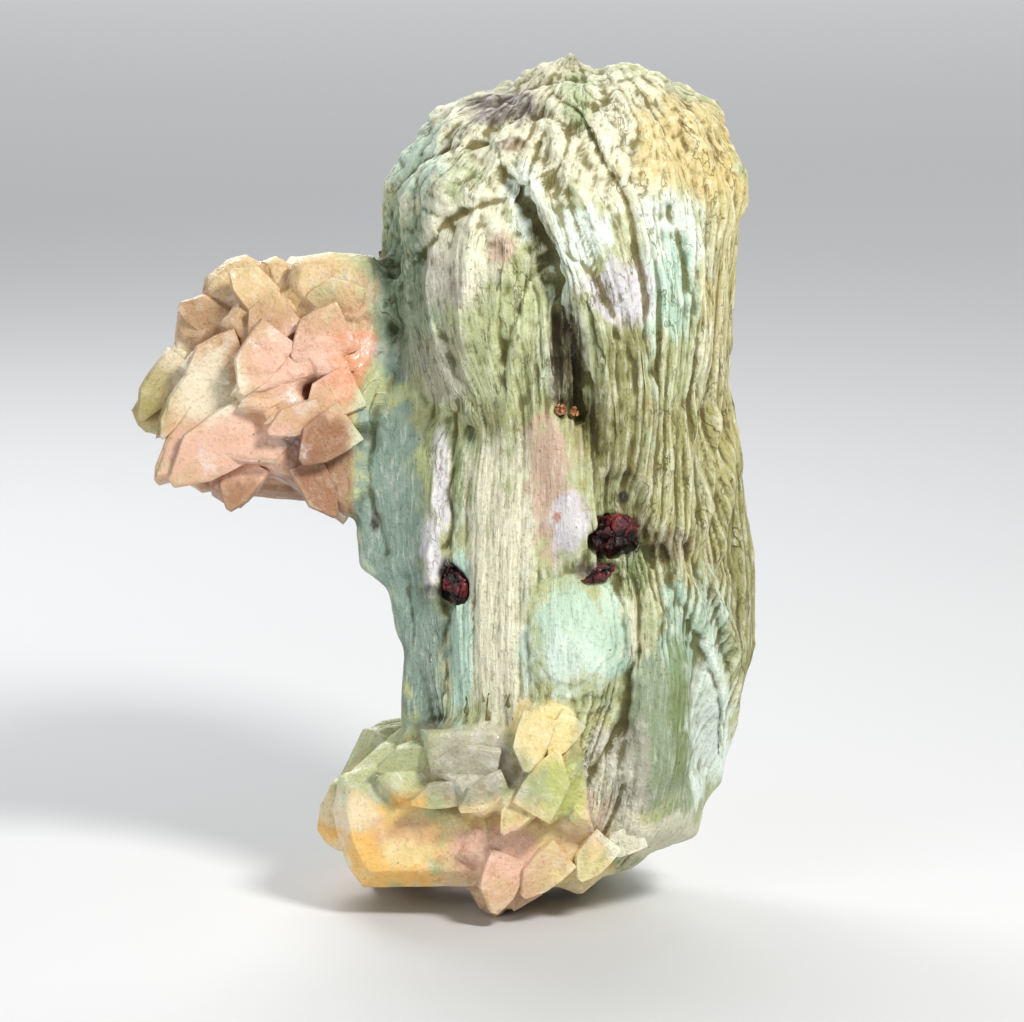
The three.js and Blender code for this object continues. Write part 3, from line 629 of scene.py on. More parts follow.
# Depth (a ridge if below zero), how far it fades to the left and to the right of the picture for a line
# that runs down (below and above for one that runs to the right), and the places on the line.
CREASES = [
    (1.7, 2.4, 0.4, [(7.2, 72.2), (8.2, 70.0), (9.3, 67.5), (10.4, 65.0), (11.3, 62.5)]),
    (0.7, 1.6, 0.5, [(9.0, 62.4), (7.6, 60.7), (6.3, 57.2), (6.1, 54)]),
    (-0.5, 1.1, 1.1, [(8.8, 72.2), (9.8, 69.8), (11.0, 67.2), (12.2, 64.4), (13.2, 61.5)]),
    (0.6, 0.5, 1.0, [(10.9, 66.1), (13.3, 62.1), (14.6, 58.0), (16.2, 53.2), (16.5, 48.7)]),
    (0.6, 0.4, 1.0, [(11.9, 66.6), (14.1, 63.4), (16.2, 60.2), (18.1, 56.7), (18.6, 52)]),
    (0.8, 0.5, 1.2, [(13.8, 78.7), (15.4, 74.6), (17.6, 70.4), (18.6, 66.1), (19.7, 62.1),
                     (20.2, 58), (21.0, 54)]),
    (0.7, 1.0, 0.4, [(22.1, 70.1), (23.7, 66.6), (24.4, 62.1), (25.0, 58.0), (25.2, 53)]),
    (0.8, 0.6, 0.6, [(10.8, 82.1), (13.3, 79.5), (14.1, 77.9)]),
    (0.6, 0.9, 0.5, [(20.2, 84.3), (22.4, 82.1), (23.5, 79.7), (23.9, 76)]),
    (0.9, 2.4, 0.5, [(-2.5, 66.0), (-0.8, 68.2), (1.2, 69.8), (3.3, 70.4), (5.2, 70.9), (7.0, 71.9)]),
    (0.5, 0.7, 0.4, [(-5.0, 73.5), (-2.0, 75.6), (1.0, 76.4), (4.0, 76.9)]),
    (0.5, 0.5, 1.2, [(-0.7, 57.5), (0.6, 54.0), (2.5, 51.3)]),
    (0.5, 1.2, 0.4, [(5.6, 66.5), (5.0, 63), (5.6, 59), (5.9, 55)]),
    (0.9, 0.35, 1.4, [(18.3, 34.5), (18.9, 30), (18.8, 26), (17.9, 21.5), (16.5, 17.5), (14.5, 14.7)]),
    (0.5, 0.4, 0.9, [(20.5, 35), (21.6, 31), (21.8, 27)]),
    (0.6, 1.2, 0.35, [(21.3, 36.6), (24.0, 30.2), (25.8, 25.0), (27.5, 20), (27.9, 14.5)]),
    (0.5, 0.6, 0.4, [(24.2, 37), (26.5, 31), (28.1, 25), (29.0, 20)]),
    (0.35, 0.5, 0.4, [(-0.1, 31.0), (-0.3, 20)]),
    (0.3, 0.4, 0.3, [(-4.0, 33.7), (-3.4, 30.5), (-3.1, 28.1)]),
    (0.35, 0.6, 0.4, [(-6.6, 52), (-7.3, 46), (-7.4, 41), (-6.2, 36)]),
    (-0.5, 0.7, 0.7, [(-0.3, 51), (-0.6, 46), (-0.8, 41), (-1.4, 36), (-1.3, 32)]),
    (0.6, 0.3, 0.6, [(0.8, 51), (0.6, 46), (0.5, 41), (0.2, 37)]),
]


def crease_relief(u, v, w):
    """Grooves and ridges that are drawn on the front one by one, often steep on one side only."""
    sway = 0.45 * noise(u / 3, v / 3, seed=95) + 0.15 * noise(u / 0.9, v / 0.9, seed=96)
    ragged = 1 + 0.35 * noise(u / 1.2, v / 1.2, seed=97)
    total = 0
    for depth, low_reach, high_reach, line in CREASES:
        gap, side = line_distance(u + sway, v + 0.5 * sway, line)
        total = total - depth * np.exp(-gap / np.where(side > 0, high_reach, low_reach))
    return total * ragged * ramp(w, 0, 3)


print(len(CREASES), "creases on the front")

# %% The shield and the crown
# Middle across and up, half width, half height and thickness of the shield and the two rims below it.
SHIELD_RIMS = [
    (12.6, 28.9, 4.3, 5.4, 0.2),
    (13.1, 28.2, 5.0, 6.4, 0.25),
    (13.8, 27.6, 5.7, 7.2, 0.25),
]


def shield_relief(u, v, w):
    """The shield under the right grain: an oval plate with two more rims below it."""
    ragged = 0.07 * noise(u / 1.4, v / 1.4, seed=91)
    steps = [high * (1 - ramp(oval(u, v, *rim) + ragged, 0.93, 1.0)) for *rim, high in SHIELD_RIMS]
    return sum(steps) * ramp(w, 2, 5) * ramp(u - v, -24.5, -15.5)


def crown_relief(across, along, u, v, w):
    """Short wrinkles that run with the blades, broken up into small rounded lumps."""
    bend = [layered(u / 4, v / 4, w / 4, seed=seed) for seed in (41, 42, 43)]
    numbers = (across * 0.95 + 0.5 * bend[0], along / 3.6 + 0.6 * bend[1], w / 90)
    long_cells, long_gap = rounded_cells(*numbers, seed=51)
    spots = [axis / 1.3 + 0.7 * shift for axis, shift in zip((u, v, w), bend)]
    small, _ = rounded_cells(*spots, seed=61)
    ridges = 1 - np.abs(layered(u / 2.6, v / 2.6, w / 2.6, seed=65)) * 2.2
    wrinkles = 0.34 * (0.5 - long_cells) + 0.12 * ramp(long_gap, 0, 0.2)
    return wrinkles + 0.34 * (0.45 - small) + 0.2 * ridges - 0.2


print("The shield has", len(SHIELD_RIMS) - 1, "more rims")

# %% Raising the skin of the sheaf
SINK = 0.9
BODY_SINK = 0.08
REST_EDGE = (1.0, 5.0)
LAST_SMOOTHING = 0.4
LEFT_LOBE = (2.0, 64, 8, 9)


def uneven_relief(u, v, w):
    """Small bumps without an order, and more of them on the left lobe."""
    uneven = 0.16 * layered(u / 2.2, v / 3.5, w / 2.2, seed=71)
    uneven = uneven + 0.08 * layered(u / 0.8, v / 1.0, w / 0.8, seed=73)
    lobe = (1 - ramp(oval(u, v, *LEFT_LOBE), 0.7, 1.2)) * ramp(w, 0, 3)
    return uneven + 0.3 * lobe * layered(u / 1.8, v / 2.2, w / 1.8, seed=77)


def sheaf_relief(u, v, w):
    """How far the skin of the sheaf is raised, in mm."""
    across = across_blades(u, v, w)
    along = v - 0.9 * np.hypot(u - SHEAF_MIDDLE, w - SHEAF_DEPTH) * ramp(v, 70, 84)
    crown = crown_mask(u, v, w)
    calm = calm_mask(u, v, w)
    left = 1 - 0.6 * (1 - ramp(u, 6, 10)) * ramp(w, -2, 2)
    free = (1 - 0.75 * crown) * (1 - 0.85 * calm) * left
    strands = 1 + 0.6 * ramp(u, 18, 22) * ramp(w, 0, 3)
    upright = upright_mask(u, v, w)
    plumb = turn_about_sheaf(u, w) * LINES_PER_RADIAN
    combed = blades_of(across, along) * (1 - upright) + blades_of(plumb, along) * upright
    fine = 0.12 * blade_edges(across, along, 5.3, 4, seed=31) * (1 - upright)
    blades = free * strands * combed + (1 - 0.7 * calm) * (0.4 + 0.6 * left) * fine
    crumpled = crown * crown_relief(across, along, u, v, w)
    uneven = uneven_relief(u, v, w)
    return blades + crumpled + uneven + shield_relief(u, v, w) + crease_relief(u, v, w)


def raise_skin(piece, heights):
    """Every point is moved along its normal by its height in mm, but none goes under the floor."""
    points = places_of(piece) + normals_of(piece) * heights[:, None] * MM
    points[:, 2] = np.maximum(points[:, 2], 0)
    move_to(piece, points)


u, v, w = drawn(places_of(body))
crisp = grown_mask(u, v, w)
rough = 0.26 * layered(u / 1.8, v / 1.8, w / 1.8, seed=75) - BODY_SINK
relief = sheaf_relief(u, v, w) * (1 - crisp) + rough * crisp
low_edge = ramp(v, *REST_EDGE)
raise_skin(body, np.where(relief > 0, relief * low_edge, relief))
apply_modifier(body, "SMOOTH", factor=LAST_SMOOTHING, iterations=1)
print("Relief from", round(float(relief.min()), 2), "to", round(float(relief.max()), 2), "mm")

# %% [markdown]
# Crisp crystals
#
# The wedges of the side cluster and the blocks of the foot have sharp edges and flat faces, which an
# even skin would round off. They are a second copy of the solid, cut down to where they are, with each
# face divided so that it can carry a faint unevenness and paint. Where the sheaf takes over, the copy
# sinks under the sheaf's skin, as the sheaf sinks under the crystals.

# %% Cutting a copy down
def cut_away(piece, point, facing):
    """Cuts off what lies beyond a plane, on the side that facing points to, and closes the cut."""
    select_only(piece)
    bpy.ops.object.mode_set(mode="EDIT")
    bpy.ops.mesh.select_all(action="SELECT")
    bpy.ops.mesh.bisect(plane_co=point, plane_no=facing, use_fill=True, clear_outer=True)
    bpy.ops.object.mode_set(mode="OBJECT")


def divide_long_edges(piece, longest, rounds):
    """Edges over a length in mm are halved, a few times over."""
    for _ in range(rounds):
        points = places_of(piece) / MM
        ends = np.zeros(len(piece.data.edges) * 2, dtype=int)
        piece.data.edges.foreach_get("vertices", ends)
        ends = ends.reshape(-1, 2)
        lengths = np.linalg.norm(points[ends[:, 0]] - points[ends[:, 1]], axis=1)
        select_only(piece)
        bpy.ops.object.mode_set(mode="EDIT")
        bpy.ops.mesh.select_mode(type="EDGE")
        bpy.ops.mesh.select_all(action="DESELECT")
        bpy.ops.object.mode_set(mode="OBJECT")
        piece.data.edges.foreach_set("select", lengths > longest)
        bpy.ops.object.mode_set(mode="EDIT")
        bpy.ops.mesh.subdivide(number_cuts=1)
        bpy.ops.mesh.quads_convert_to_tris()
        bpy.ops.object.mode_set(mode="OBJECT")


# %% The crystals of the side cluster and the foot
# A point of each cutting plane on the drawing, and the way that the part cut off lies.
CLUSTER_CUTS = [((-6.2, 0, 0), (1, 0, 0)), ((0, 36, 0), (0, -1, 0)), ((0, 67.2, 0), (0, 1, 0))]
FOOT_CUTS = [((0, 22.8, 0), (0, 1, 0)), ((15.2, 16, 0), (16, 4.5, 0))]
LONGEST_EDGE = 0.9
HALVINGS = 4


def crisp_copy(name, cuts):
    """The solid cut down to some of its crystals, with its long edges divided."""
    piece = merged_copy("heulandite_cluster", name)
    for point, facing in cuts:
        cut_away(piece, place(*point), direction(*facing))
    divide_long_edges(piece, LONGEST_EDGE, HALVINGS)
    return piece


cluster = crisp_copy("side_cluster", CLUSTER_CUTS)
foot = crisp_copy("foot", FOOT_CUTS)
print("Side cluster and foot of", triangles_of(cluster), "and", triangles_of(foot), "triangles")

# %% Unevenness of the crystal faces
for piece, mask in ((cluster, cluster_mask), (foot, foot_mask)):
    u, v, w = drawn(places_of(piece))
    own = mask(u, v, w)
    faint = 0.09 * layered(u / 1.5, v / 1.5, w / 1.5, seed=81)
    raise_skin(piece, faint * ramp(v, 0.8, 2.5) - SINK * (1 - own))
    print(piece.name, "lies free at", round(float(own.mean()) * 100), "% of its points")

# %% [markdown]
# Plates that stand out
#
# Some plates of the side cluster and of the foot lie free over the rest, like shingles: thin, with a
# blunt tip. One is modelled with care: a block is divided, its far end drawn in to a tip that sits a
# little to one side, and its edges broken. A copy of it is then laid where each of the real ones is,
# turned and sized as it is seen on the face.

# %% One plate
PLATE = (8.0, 5.0, 1.1)
PLATE_EDGE = 0.1
PLATE_SINK = 0.15
# Beyond these places along the plate, it is drawn in across and through by these shares.
TAPERS = ((0.5, 0.9, 0.8), (3.0, 0.2, 0.5))
TIP_FROM = 3.0
TIP_SHIFT = 0.7
SHARP_ANGLE = math.radians(35)


def select_beyond(piece, place_x):
    """Edit mode with only the points beyond a place along X selected."""
    select_only(piece)
    bpy.ops.object.mode_set(mode="EDIT")
    bpy.ops.mesh.select_mode(type="VERT")
    bpy.ops.mesh.select_all(action="DESELECT")
    bpy.ops.object.mode_set(mode="OBJECT")
    for vertex in piece.data.vertices:
        vertex.select = vertex.co.x > place_x * MM
    bpy.ops.object.mode_set(mode="EDIT")


def model_plate():
    """A thin block with a blunt tip, its long side along X."""
    bpy.ops.object.select_all(action="DESELECT")
    bpy.ops.mesh.primitive_cube_add(size=1)
    plate = bpy.context.object
    plate.name = "plate_pattern"
    plate.scale = [side * MM for side in PLATE]
    bpy.ops.object.transform_apply(location=False, rotation=False, scale=True)
    bpy.ops.object.mode_set(mode="EDIT")
    bpy.ops.mesh.select_all(action="SELECT")
    bpy.ops.mesh.subdivide(number_cuts=2)
    bpy.ops.object.mode_set(mode="OBJECT")
    for beyond, across, through in TAPERS:
        select_beyond(plate, beyond)
        bpy.ops.transform.resize(value=(1, across, through), center_override=(0, 0, 0))
        bpy.ops.object.mode_set(mode="OBJECT")
    select_beyond(plate, TIP_FROM)
    bpy.ops.transform.translate(value=(0, TIP_SHIFT * MM, 0))
    bpy.ops.object.mode_set(mode="OBJECT")
    sharp_only = {"limit_method": "ANGLE", "angle_limit": SHARP_ANGLE}
    apply_modifier(plate, "BEVEL", width=PLATE_EDGE * MM, segments=1, **sharp_only)
    apply_modifier(plate, "SUBSURF", subdivision_type="SIMPLE", levels=1, render_levels=1)
    return plate


plate_pattern = model_plate()
print("One plate of", triangles_of(plate_pattern), "triangles")

# %% Laying the plates
# Middle across and up, the way that the tip points in degrees (180 is left and 270 is down), length,
# width, how far the tip leans out and how far the plate is rolled about its length, in degrees.
CLUSTER_PLATES = [
    (-18.6, 55.3, 235, 7.4, 4.4, 12, 12),
    (-17.6, 59.2, 215, 5.4, 4.8, 10, -8),
    (-23.2, 55.6, 205, 6.2, 4.0, 12, 14),
    (-26.0, 51.8, 231, 7.0, 2.6, 10, 20),
    (-27.2, 49.9, 240, 5.0, 2.0, 8, 10),
    (-28.8, 52.8, 233, 7.6, 3.4, 4, 24),
    (-23.2, 46.6, 212, 10.5, 6.0, 6, 16),
    (-20.6, 43.0, 236, 5.4, 3.8, 8, -14),
    (-12.6, 42.4, 296, 6.2, 3.4, 4, 10),
    (-15.0, 49.4, 196, 5.6, 3.2, 10, 16),
    (-11.4, 51.6, 205, 6.0, 4.6, 6, -10),
    (-12.6, 57.6, 205, 6.4, 5.4, 6, 12),
    (-12.0, 47.6, 215, 6.4, 4.6, 6, 8),
    (-11.0, 61.6, 160, 5.4, 4.4, 5, 14),
    (-24.5, 60.4, 150, 4.6, 3.6, 6, 20),
    (-19.5, 63.0, 130, 4.6, 4.0, 5, -18),
]
FOOT_PLATES = [
    (10.2, 13.6, 62, 6.6, 4.4, 10, 12),
    (8.6, 17.6, 250, 5.8, 3.6, 8, -14),
    (11.4, 18.2, 235, 4.8, 3.0, 12, 16),
    (-3.4, 15.6, 186, 6.6, 3.6, 3, 24),
    (2.2, 15.6, 172, 6.4, 3.8, 2, 22),
    (3.8, 12.4, 205, 5.4, 3.2, 3, 26),
    (-0.4, 12.4, 190, 6.0, 2.8, 2, 20),
    (7.2, 10.6, 225, 5.0, 3.0, 4, -20),
    (5.4, 3.6, 250, 6.0, 4.2, 3, 18),
    (9.6, 4.6, 222, 6.0, 3.8, 3, 20),
    (14.6, 6.0, 230, 5.0, 3.6, 4, 20),
    (17.6, 7.6, 205, 4.4, 3.0, 4, 24),
]


SPOT_REACH = 1.5


def front_place(piece, at_u, at_v):
    """The place on the front of a piece at a spot of the drawing."""
    u, v, w = drawn(places_of(piece))
    near = np.hypot(u - at_u, v - at_v) < SPOT_REACH
    return at_u, at_v, float(w[near].max()) if near.any() else 0.0


def plate_turn(angle, lean, roll):
    """The turn that lays a plate flat to the viewer, with its tip one way, then leans and rolls it."""
    along = direction(math.cos(angle), math.sin(angle), math.tan(lean))
    facing = direction(-math.sin(angle) * math.sin(roll), math.cos(angle) * math.sin(roll), math.cos(roll))
    side = facing.cross(along).normalized()
    return Matrix((along, side, along.cross(side))).transposed().to_4x4()


def lay_plates(piece, plates):
    """Copies of the pattern plate on the front of a piece, as one object."""
    copies = []
    for at_u, at_v, angle, length, width, lean, roll in plates:
        at_u, at_v, at_w = front_place(piece, at_u, at_v)
        turn = plate_turn(*(math.radians(value) for value in (angle, lean, roll)))
        scale = Matrix.Diagonal((length / PLATE[0], width / PLATE[1], 1, 1))
        copy = plate_pattern.copy()
        copy.data = plate_pattern.data.copy()
        copy.data.transform(Matrix.Translation(place(at_u, at_v, at_w - PLATE_SINK)) @ turn @ scale)
        bpy.context.scene.collection.objects.link(copy)
        copies.append(copy)
    bpy.ops.object.select_all(action="DESELECT")
    for copy in copies:
        copy.select_set(True)
    bpy.context.view_layer.objects.active = copies[0]
    bpy.ops.object.join()
    laid = copies[0]
    u, v, w = drawn(places_of(laid))
    raise_skin(laid, 0.09 * layered(u / 1.2, v / 1.2, w / 1.2, seed=83))
    return laid


cluster_plates = lay_plates(cluster, CLUSTER_PLATES)
foot_plates = lay_plates(foot, FOOT_PLATES)
print(len(CLUSTER_PLATES), "plates on the side cluster and", len(FOOT_PLATES), "on the foot")

# %% [markdown]
# Paint
#
# The colour of such a specimen comes in clouds, and it depends on where on the face one looks. Each
# point gets a tint: a base for the sheaf, and then soft patches laid over it, as with a brush.
# Their borders follow a rolling noise that is stretched along the blades, so that they look grown.

# %% Tints
TINTS = {
    "sage": "b3ba88",
    "cream": "e8e5cb",
    "straw": "d6c07a",
    "leaf": "8aa566",
    "deep_leaf": "74874a",
    "moss": "8d8a52",
    "khaki": "a89d5e",
    "olive_dark": "52461f",
    "brown": "7a5f43",
    "soot": "5d5054",
    "mint": "b9dac8",
    "ice": "e2f0e6",
    "teal": "7c9286",
    "grey_green": "869a80",
    "lilac": "dcd8e0",
    "ash": "b2ab9d",
    "beige": "cfae9a",
    "peach": "d2a985",
    "pink": "e4b7a2",
    "apricot": "dc9670",
    "honey": "eebb62",
    "butter": "eeda9c",
    "lime": "c2c86f",
    "tan": "b08a5c",
    "rust": "8c5a38",
    "ember": "b9502c",
    "pitch": "2a1b18",
}


def light_of(part):
    """The amount of light behind a screen value from 0 to 1."""
    return part / 12.92 if part < 0.04 else ((part + 0.055) / 1.055) ** 2.4


def linear(code):
    """A colour written as on screen, as the light values that a material needs."""
    return np.array([light_of(int(code[start : start + 2], 16) / 255) for start in (0, 2, 4)])


print(len(TINTS), "tints")

# %% Patches laid one by one
# Tint, strength, middle across and up, half width and half height, in mm on the drawing.
FRONT_PATCHES = [
    ("cream", 0.8, 10, 77, 21, 11),
    ("straw", 0.75, 24.5, 76.5, 7, 6),
    ("straw", 0.5, 28, 66, 3.5, 12),
    ("leaf", 0.6, 13.2, 81, 1.8, 4.5),
    ("leaf", 0.4, 2, 73, 3, 3),
    ("mint", 0.7, -3, 76, 3.5, 5),
    ("soot", 0.85, 6, 80.5, 5, 2.4),
    ("brown", 0.8, 6.8, 76.3, 1.8, 0.8),
    ("grey_green", 0.95, -4.2, 62, 4.8, 11),
    ("cream", 0.85, 2.6, 66, 4.5, 6.5),
    ("beige", 0.8, 5.7, 66, 1.5, 1.8),
    ("ash", 0.7, -0.3, 62.7, 2.2, 2.8),
    ("ash", 0.6, -0.5, 54.5, 4, 4.5),
    ("sage", 0.8, 6.5, 57, 4.5, 8),
    # The three ice patches round the cleft and on the right lobe are partly the pale colour of the blades
    # and partly a painted highlight.
    ("ice", 0.7, 8.0, 71, 2.2, 4),
    ("ice", 0.95, 12.6, 67.2, 5, 5),
    ("ice", 0.8, 22.5, 66.5, 4, 6),
    ("mint", 0.8, 22.4, 61.5, 3, 6),
    ("lilac", 0.9, 17.0, 62, 3.6, 4.2),
    ("khaki", 0.6, 28.4, 56, 3.0, 12),
    ("moss", 0.8, 9.6, 66.5, 1.5, 4),
    ("olive_dark", 0.95, 12.0, 54.5, 2.0, 6.5),
    ("moss", 0.85, 17.5, 55, 2.8, 4),
    ("moss", 0.85, 16.5, 48.0, 5, 7),
    ("khaki", 0.55, 25.5, 40, 8, 17),
    ("moss", 0.7, 30.8, 35, 2.6, 15),
    ("brown", 0.6, 22.5, 37, 3, 1.8),
    ("grey_green", 0.8, 22.5, 19, 7.5, 13),
    ("mint", 0.7, 25, 28, 4, 6),
    ("deep_leaf", 0.75, 23.4, 20, 1.6, 9),
    ("ice", 0.95, 26.6, 19.5, 2.8, 11),
    ("ash", 0.7, 17.0, 13.5, 4, 7),
    ("pink", 0.5, 14.5, 9.5, 2.5, 4),
    ("cream", 0.5, 18.5, 8.5, 3, 3),
    ("cream", 0.75, 22, 7.5, 8, 3.4),
    ("deep_leaf", 0.8, 18.9, 35.2, 1.8, 3.2),
    ("beige", 0.9, 10.4, 42.5, 3.4, 8.5),
    ("lilac", 0.85, 12.5, 39, 2.4, 4.6),
    ("sage", 0.8, 4.5, 33, 5.5, 16),
    ("cream", 0.85, 5.0, 34, 4.4, 16),
    ("mint", 0.9, 1.6, 28, 1.3, 12),
    ("mint", 0.75, 13.2, 28.5, 6, 6.5),
    ("ice", 0.5, 12.0, 25.5, 3.5, 3.5),
    ("teal", 0.95, -5.4, 42, 4.4, 13),
    ("teal", 0.9, -2.6, 26, 3.2, 10),
    ("lilac", 0.9, -0.3, 43.5, 1.3, 7),
    ("lilac", 0.9, -1.2, 36.5, 1.2, 5.5),
    ("deep_leaf", 0.8, 1.2, 44, 0.7, 5),
    ("pitch", 0.85, -0.7, 32.6, 1.5, 1.0),
    ("ember", 0.9, 11.2, 39.8, 0.5, 0.5),
    ("pitch", 0.95, 0.4, 33.6, 1.2, 2.4),
    ("pitch", 0.9, 17.2, 37.6, 3.0, 2.2),
    ("soot", 0.8, 14.4, 34.4, 2.0, 1.4),
    ("pitch", 0.9, -7.0, 39.5, 0.4, 0.9),
    ("pitch", 0.9, 17.7, 41.8, 0.6, 0.7),
]
CRYSTAL_PATCHES = [
    ("peach", 0.95, -19, 53, 17, 19),
    ("tan", 0.5, -22, 61, 12, 6),
    ("butter", 0.35, -16, 64.5, 12, 4.5),
    ("apricot", 0.85, -9.0, 54, 4, 5),
    ("cream", 0.7, -24, 53, 6, 5),
    ("khaki", 0.8, -30, 50.5, 3.5, 5),
    ("pink", 0.8, -15.5, 55, 5, 4.5),
    ("pink", 0.7, -20, 46.5, 10, 4),
    ("rust", 0.85, -11.5, 44.5, 5.5, 6),
    ("rust", 0.7, -20, 41.0, 7, 3),
    ("ash", 0.7, 2.5, 15, 6, 5.5),
    ("apricot", 0.35, 6, 7, 12, 6),
    ("butter", 0.7, 6, 7, 12, 6),
    ("peach", 0.6, 6, 5, 10, 5),
    ("honey", 0.95, -6.5, 7.5, 7.5, 6.5),
    ("pink", 0.85, 5.0, 6.5, 5.5, 3.2),
    ("peach", 0.8, 6.5, 1.5, 5, 2.4),
    ("cream", 0.6, -9.5, 10.5, 3.5, 2.0),
    ("peach", 0.7, -3.5, 8.5, 3.5, 2.6),
    ("butter", 0.7, -3.5, 6.5, 3.0, 1.6),
    ("cream", 0.5, -10.5, 5.0, 1.6, 2.4),
    ("sage", 0.85, -4.2, 15.6, 3.6, 3.4),
    ("butter", 0.9, 10.2, 18.8, 4.2, 3.8),
    ("lime", 0.8, 11.6, 13, 2.6, 3.4),
    ("butter", 0.7, 16, 4.2, 6, 2.6),
]


print(len(FRONT_PATCHES), "patches on the sheaf and", len(CRYSTAL_PATCHES), "on the crystals")


# %% The tint of every point
def paint_over(colors, tint, mask):
    """The colours with a tint laid over them, as thick as the mask says."""
    return colors + (linear(TINTS[tint]) - colors) * mask[:, None]


def paint_patches(colors, patches, u, v, wander, reach):
    """Soft-edged patches, one over the other."""
    for tint, strength, at_u, at_v, half_u, half_v in patches:
        distance = np.hypot((u - at_u) / half_u, (v - at_v) / half_v)
        mask = strength * ramp(1.05 - distance + wander, 0, 0.45) * reach
        colors = paint_over(colors, tint, mask)
    return colors


def tint_of(u, v, w):
    """The tint of every point."""
    across = across_blades(u, v, w)
    streaks = layered(across * 1.7, v / 11, seed=101)
    clouds = layered(u / 9, v / 9, w / 9, seed=111)
    wander = 0.3 * streaks + 0.45 * layered(u / 2.5, v / 2.5, w / 2.5, seed=121)
    wander = wander + 0.3 * layered(u / 0.9, v / 1.1, w / 0.9, seed=123)
    colors = np.tile(linear(TINTS["sage"]), (len(u), 1))
    colors = paint_over(colors, "cream", 0.7 * ramp(clouds + 0.4 * streaks, 0, 0.5))
    colors = paint_over(colors, "khaki", 0.7 * ramp(-clouds + 0.4 * streaks, 0, 0.5))
    colors = paint_over(colors, "mint", 0.5 * ramp(streaks - 0.3 * clouds, 0.2, 0.5))
    colors = paint_patches(colors, FRONT_PATCHES, u, v, wander, ramp(w, -4, 1))
    return paint_patches(colors, CRYSTAL_PATCHES, u, v, wander, grown_mask(u, v, w))


print("At the drawing's zero the tint is", tint_of(*np.zeros((3, 1))).round(2).tolist())

# %% [markdown]
# Height over the surroundings
#
# Painted shade goes into the hollows and a painted highlight onto the crests. The skin is smoothed in
# numbers only, and the distance from the smoothed place to the real one tells hollows from crests. Two
# ranges are kept: a short one for the blades and a wide one for the folds. Both are stored on the points
# with the tint and the masks, so that the material can read them.

# %% Hollows and crests
def neighbour_sums(points, ends):
    """The sum of the places of each point's neighbours."""
    first, second = ends.T
    columns = [
        np.bincount(first, points[second, axis], len(points))
        + np.bincount(second, points[first, axis], len(points))
        for axis in range(3)
    ]
    return np.stack(columns, axis=1)


def smoothed_places(points, ends, passes):
    """The places after averaging each with its neighbours a number of times."""
    count = np.bincount(ends.ravel(), minlength=len(points))[:, None]
    for _ in range(passes):
        points = (points + neighbour_sums(points, ends)) / (count + 1)
    return points


def stand_out(piece, passes):
    """How far each point stands out from its smoothed surroundings, in mm."""
    points = places_of(piece) / MM
    ends = np.zeros(len(piece.data.edges) * 2, dtype=int)
    piece.data.edges.foreach_get("vertices", ends)
    smooth = smoothed_places(points, ends.reshape(-1, 2), passes)
    return np.einsum("ij,ij->i", points - smooth, normals_of(piece))


print("Heights are measured over as many rounds of neighbours as are asked for")

# %% What the material reads
# The name of an attribute's field and how many numbers it holds, by kind.
FIELDS = {"FLOAT": ("value", 1), "FLOAT_VECTOR": ("vector", 3), "FLOAT_COLOR": ("color", 4)}
# How many rounds of neighbours the short and the wide range of the heights take in.
BODY_RANGES = (6, 40)
CRYSTAL_RANGES = (4, 16)
PLATE_RANGES = (3, 8)
# Middle across and up, half width and half height of ovals on the front.
LOBE_LUMPS = (2.0, 64, 9, 10)
LOW_LUMPS = (16.5, 12, 5, 9)
PANEL = (4.5, 34, 6, 17)


def store(piece, name, kind, values):
    """Values are kept on the points under a name, one row each."""
    layer = piece.data.attributes.new(name, kind, "POINT")
    layer.data.foreach_set(FIELDS[kind][0], values.astype(np.float32).ravel())


def inside(u, v, zone):
    """1 inside an oval and 0 outside it, with a soft rim."""
    return 1 - ramp(oval(u, v, *zone), 0.7, 1.2)


def lumpy_mask(u, v, w):
    """1 where the surface is lumpy and has no streaks."""
    lobes = np.maximum(0.5 * inside(u, v, LOBE_LUMPS), 0.8 * inside(u, v, LOW_LUMPS))
    return np.maximum.reduce([crown_mask(u, v, w) * 0.65, lobes, grown_mask(u, v, w)])


def paint(piece, near_passes, wide_passes):
    """Stores the tint, the two heights, the masks and the places along the blades."""
    u, v, w = drawn(places_of(piece))
    tint = tint_of(u, v, w)
    store(piece, "tint", "FLOAT_COLOR", np.concatenate([tint, np.ones((len(u), 1))], axis=1))
    store(piece, "near_height", "FLOAT", stand_out(piece, near_passes))
    store(piece, "wide_height", "FLOAT", stand_out(piece, wide_passes))
    grown = grown_mask(u, v, w)
    store(piece, "crystal", "FLOAT", grown)
    store(piece, "lumpy", "FLOAT", lumpy_mask(u, v, w))
    panel = 0.45 * (1 - ramp(oval(u, v, *PANEL), 0.8, 1.2)) * ramp(w, -3, 2)
    store(piece, "calm", "FLOAT", np.maximum(0.8 * calm_mask(u, v, w), panel))
    store(piece, "upright", "FLOAT", upright_mask(u, v, w))
    flow = across_blades(u, v, w)
    store(piece, "flow", "FLOAT_VECTOR", np.stack([flow, v / 10, grown], axis=1))
    plumb = turn_about_sheaf(u, w) * LINES_PER_RADIAN
    store(piece, "plumb", "FLOAT_VECTOR", np.stack([plumb, v / 10, grown], axis=1))


def join_into(piece, other):
    """One piece of both, with the stored values of both."""
    bpy.ops.object.select_all(action="DESELECT")
    other.select_set(True)
    piece.select_set(True)
    bpy.context.view_layer.objects.active = piece
    bpy.ops.object.join()


paint(body, *BODY_RANGES)
for piece, plates in ((cluster, cluster_plates), (foot, foot_plates)):
    paint(piece, *CRYSTAL_RANGES)
    paint(plates, *PLATE_RANGES)
    join_into(piece, plates)
bpy.data.objects.remove(plate_pattern)
print("Stored on the points:", [layer.name for layer in body.data.attributes if layer.domain == "POINT"])

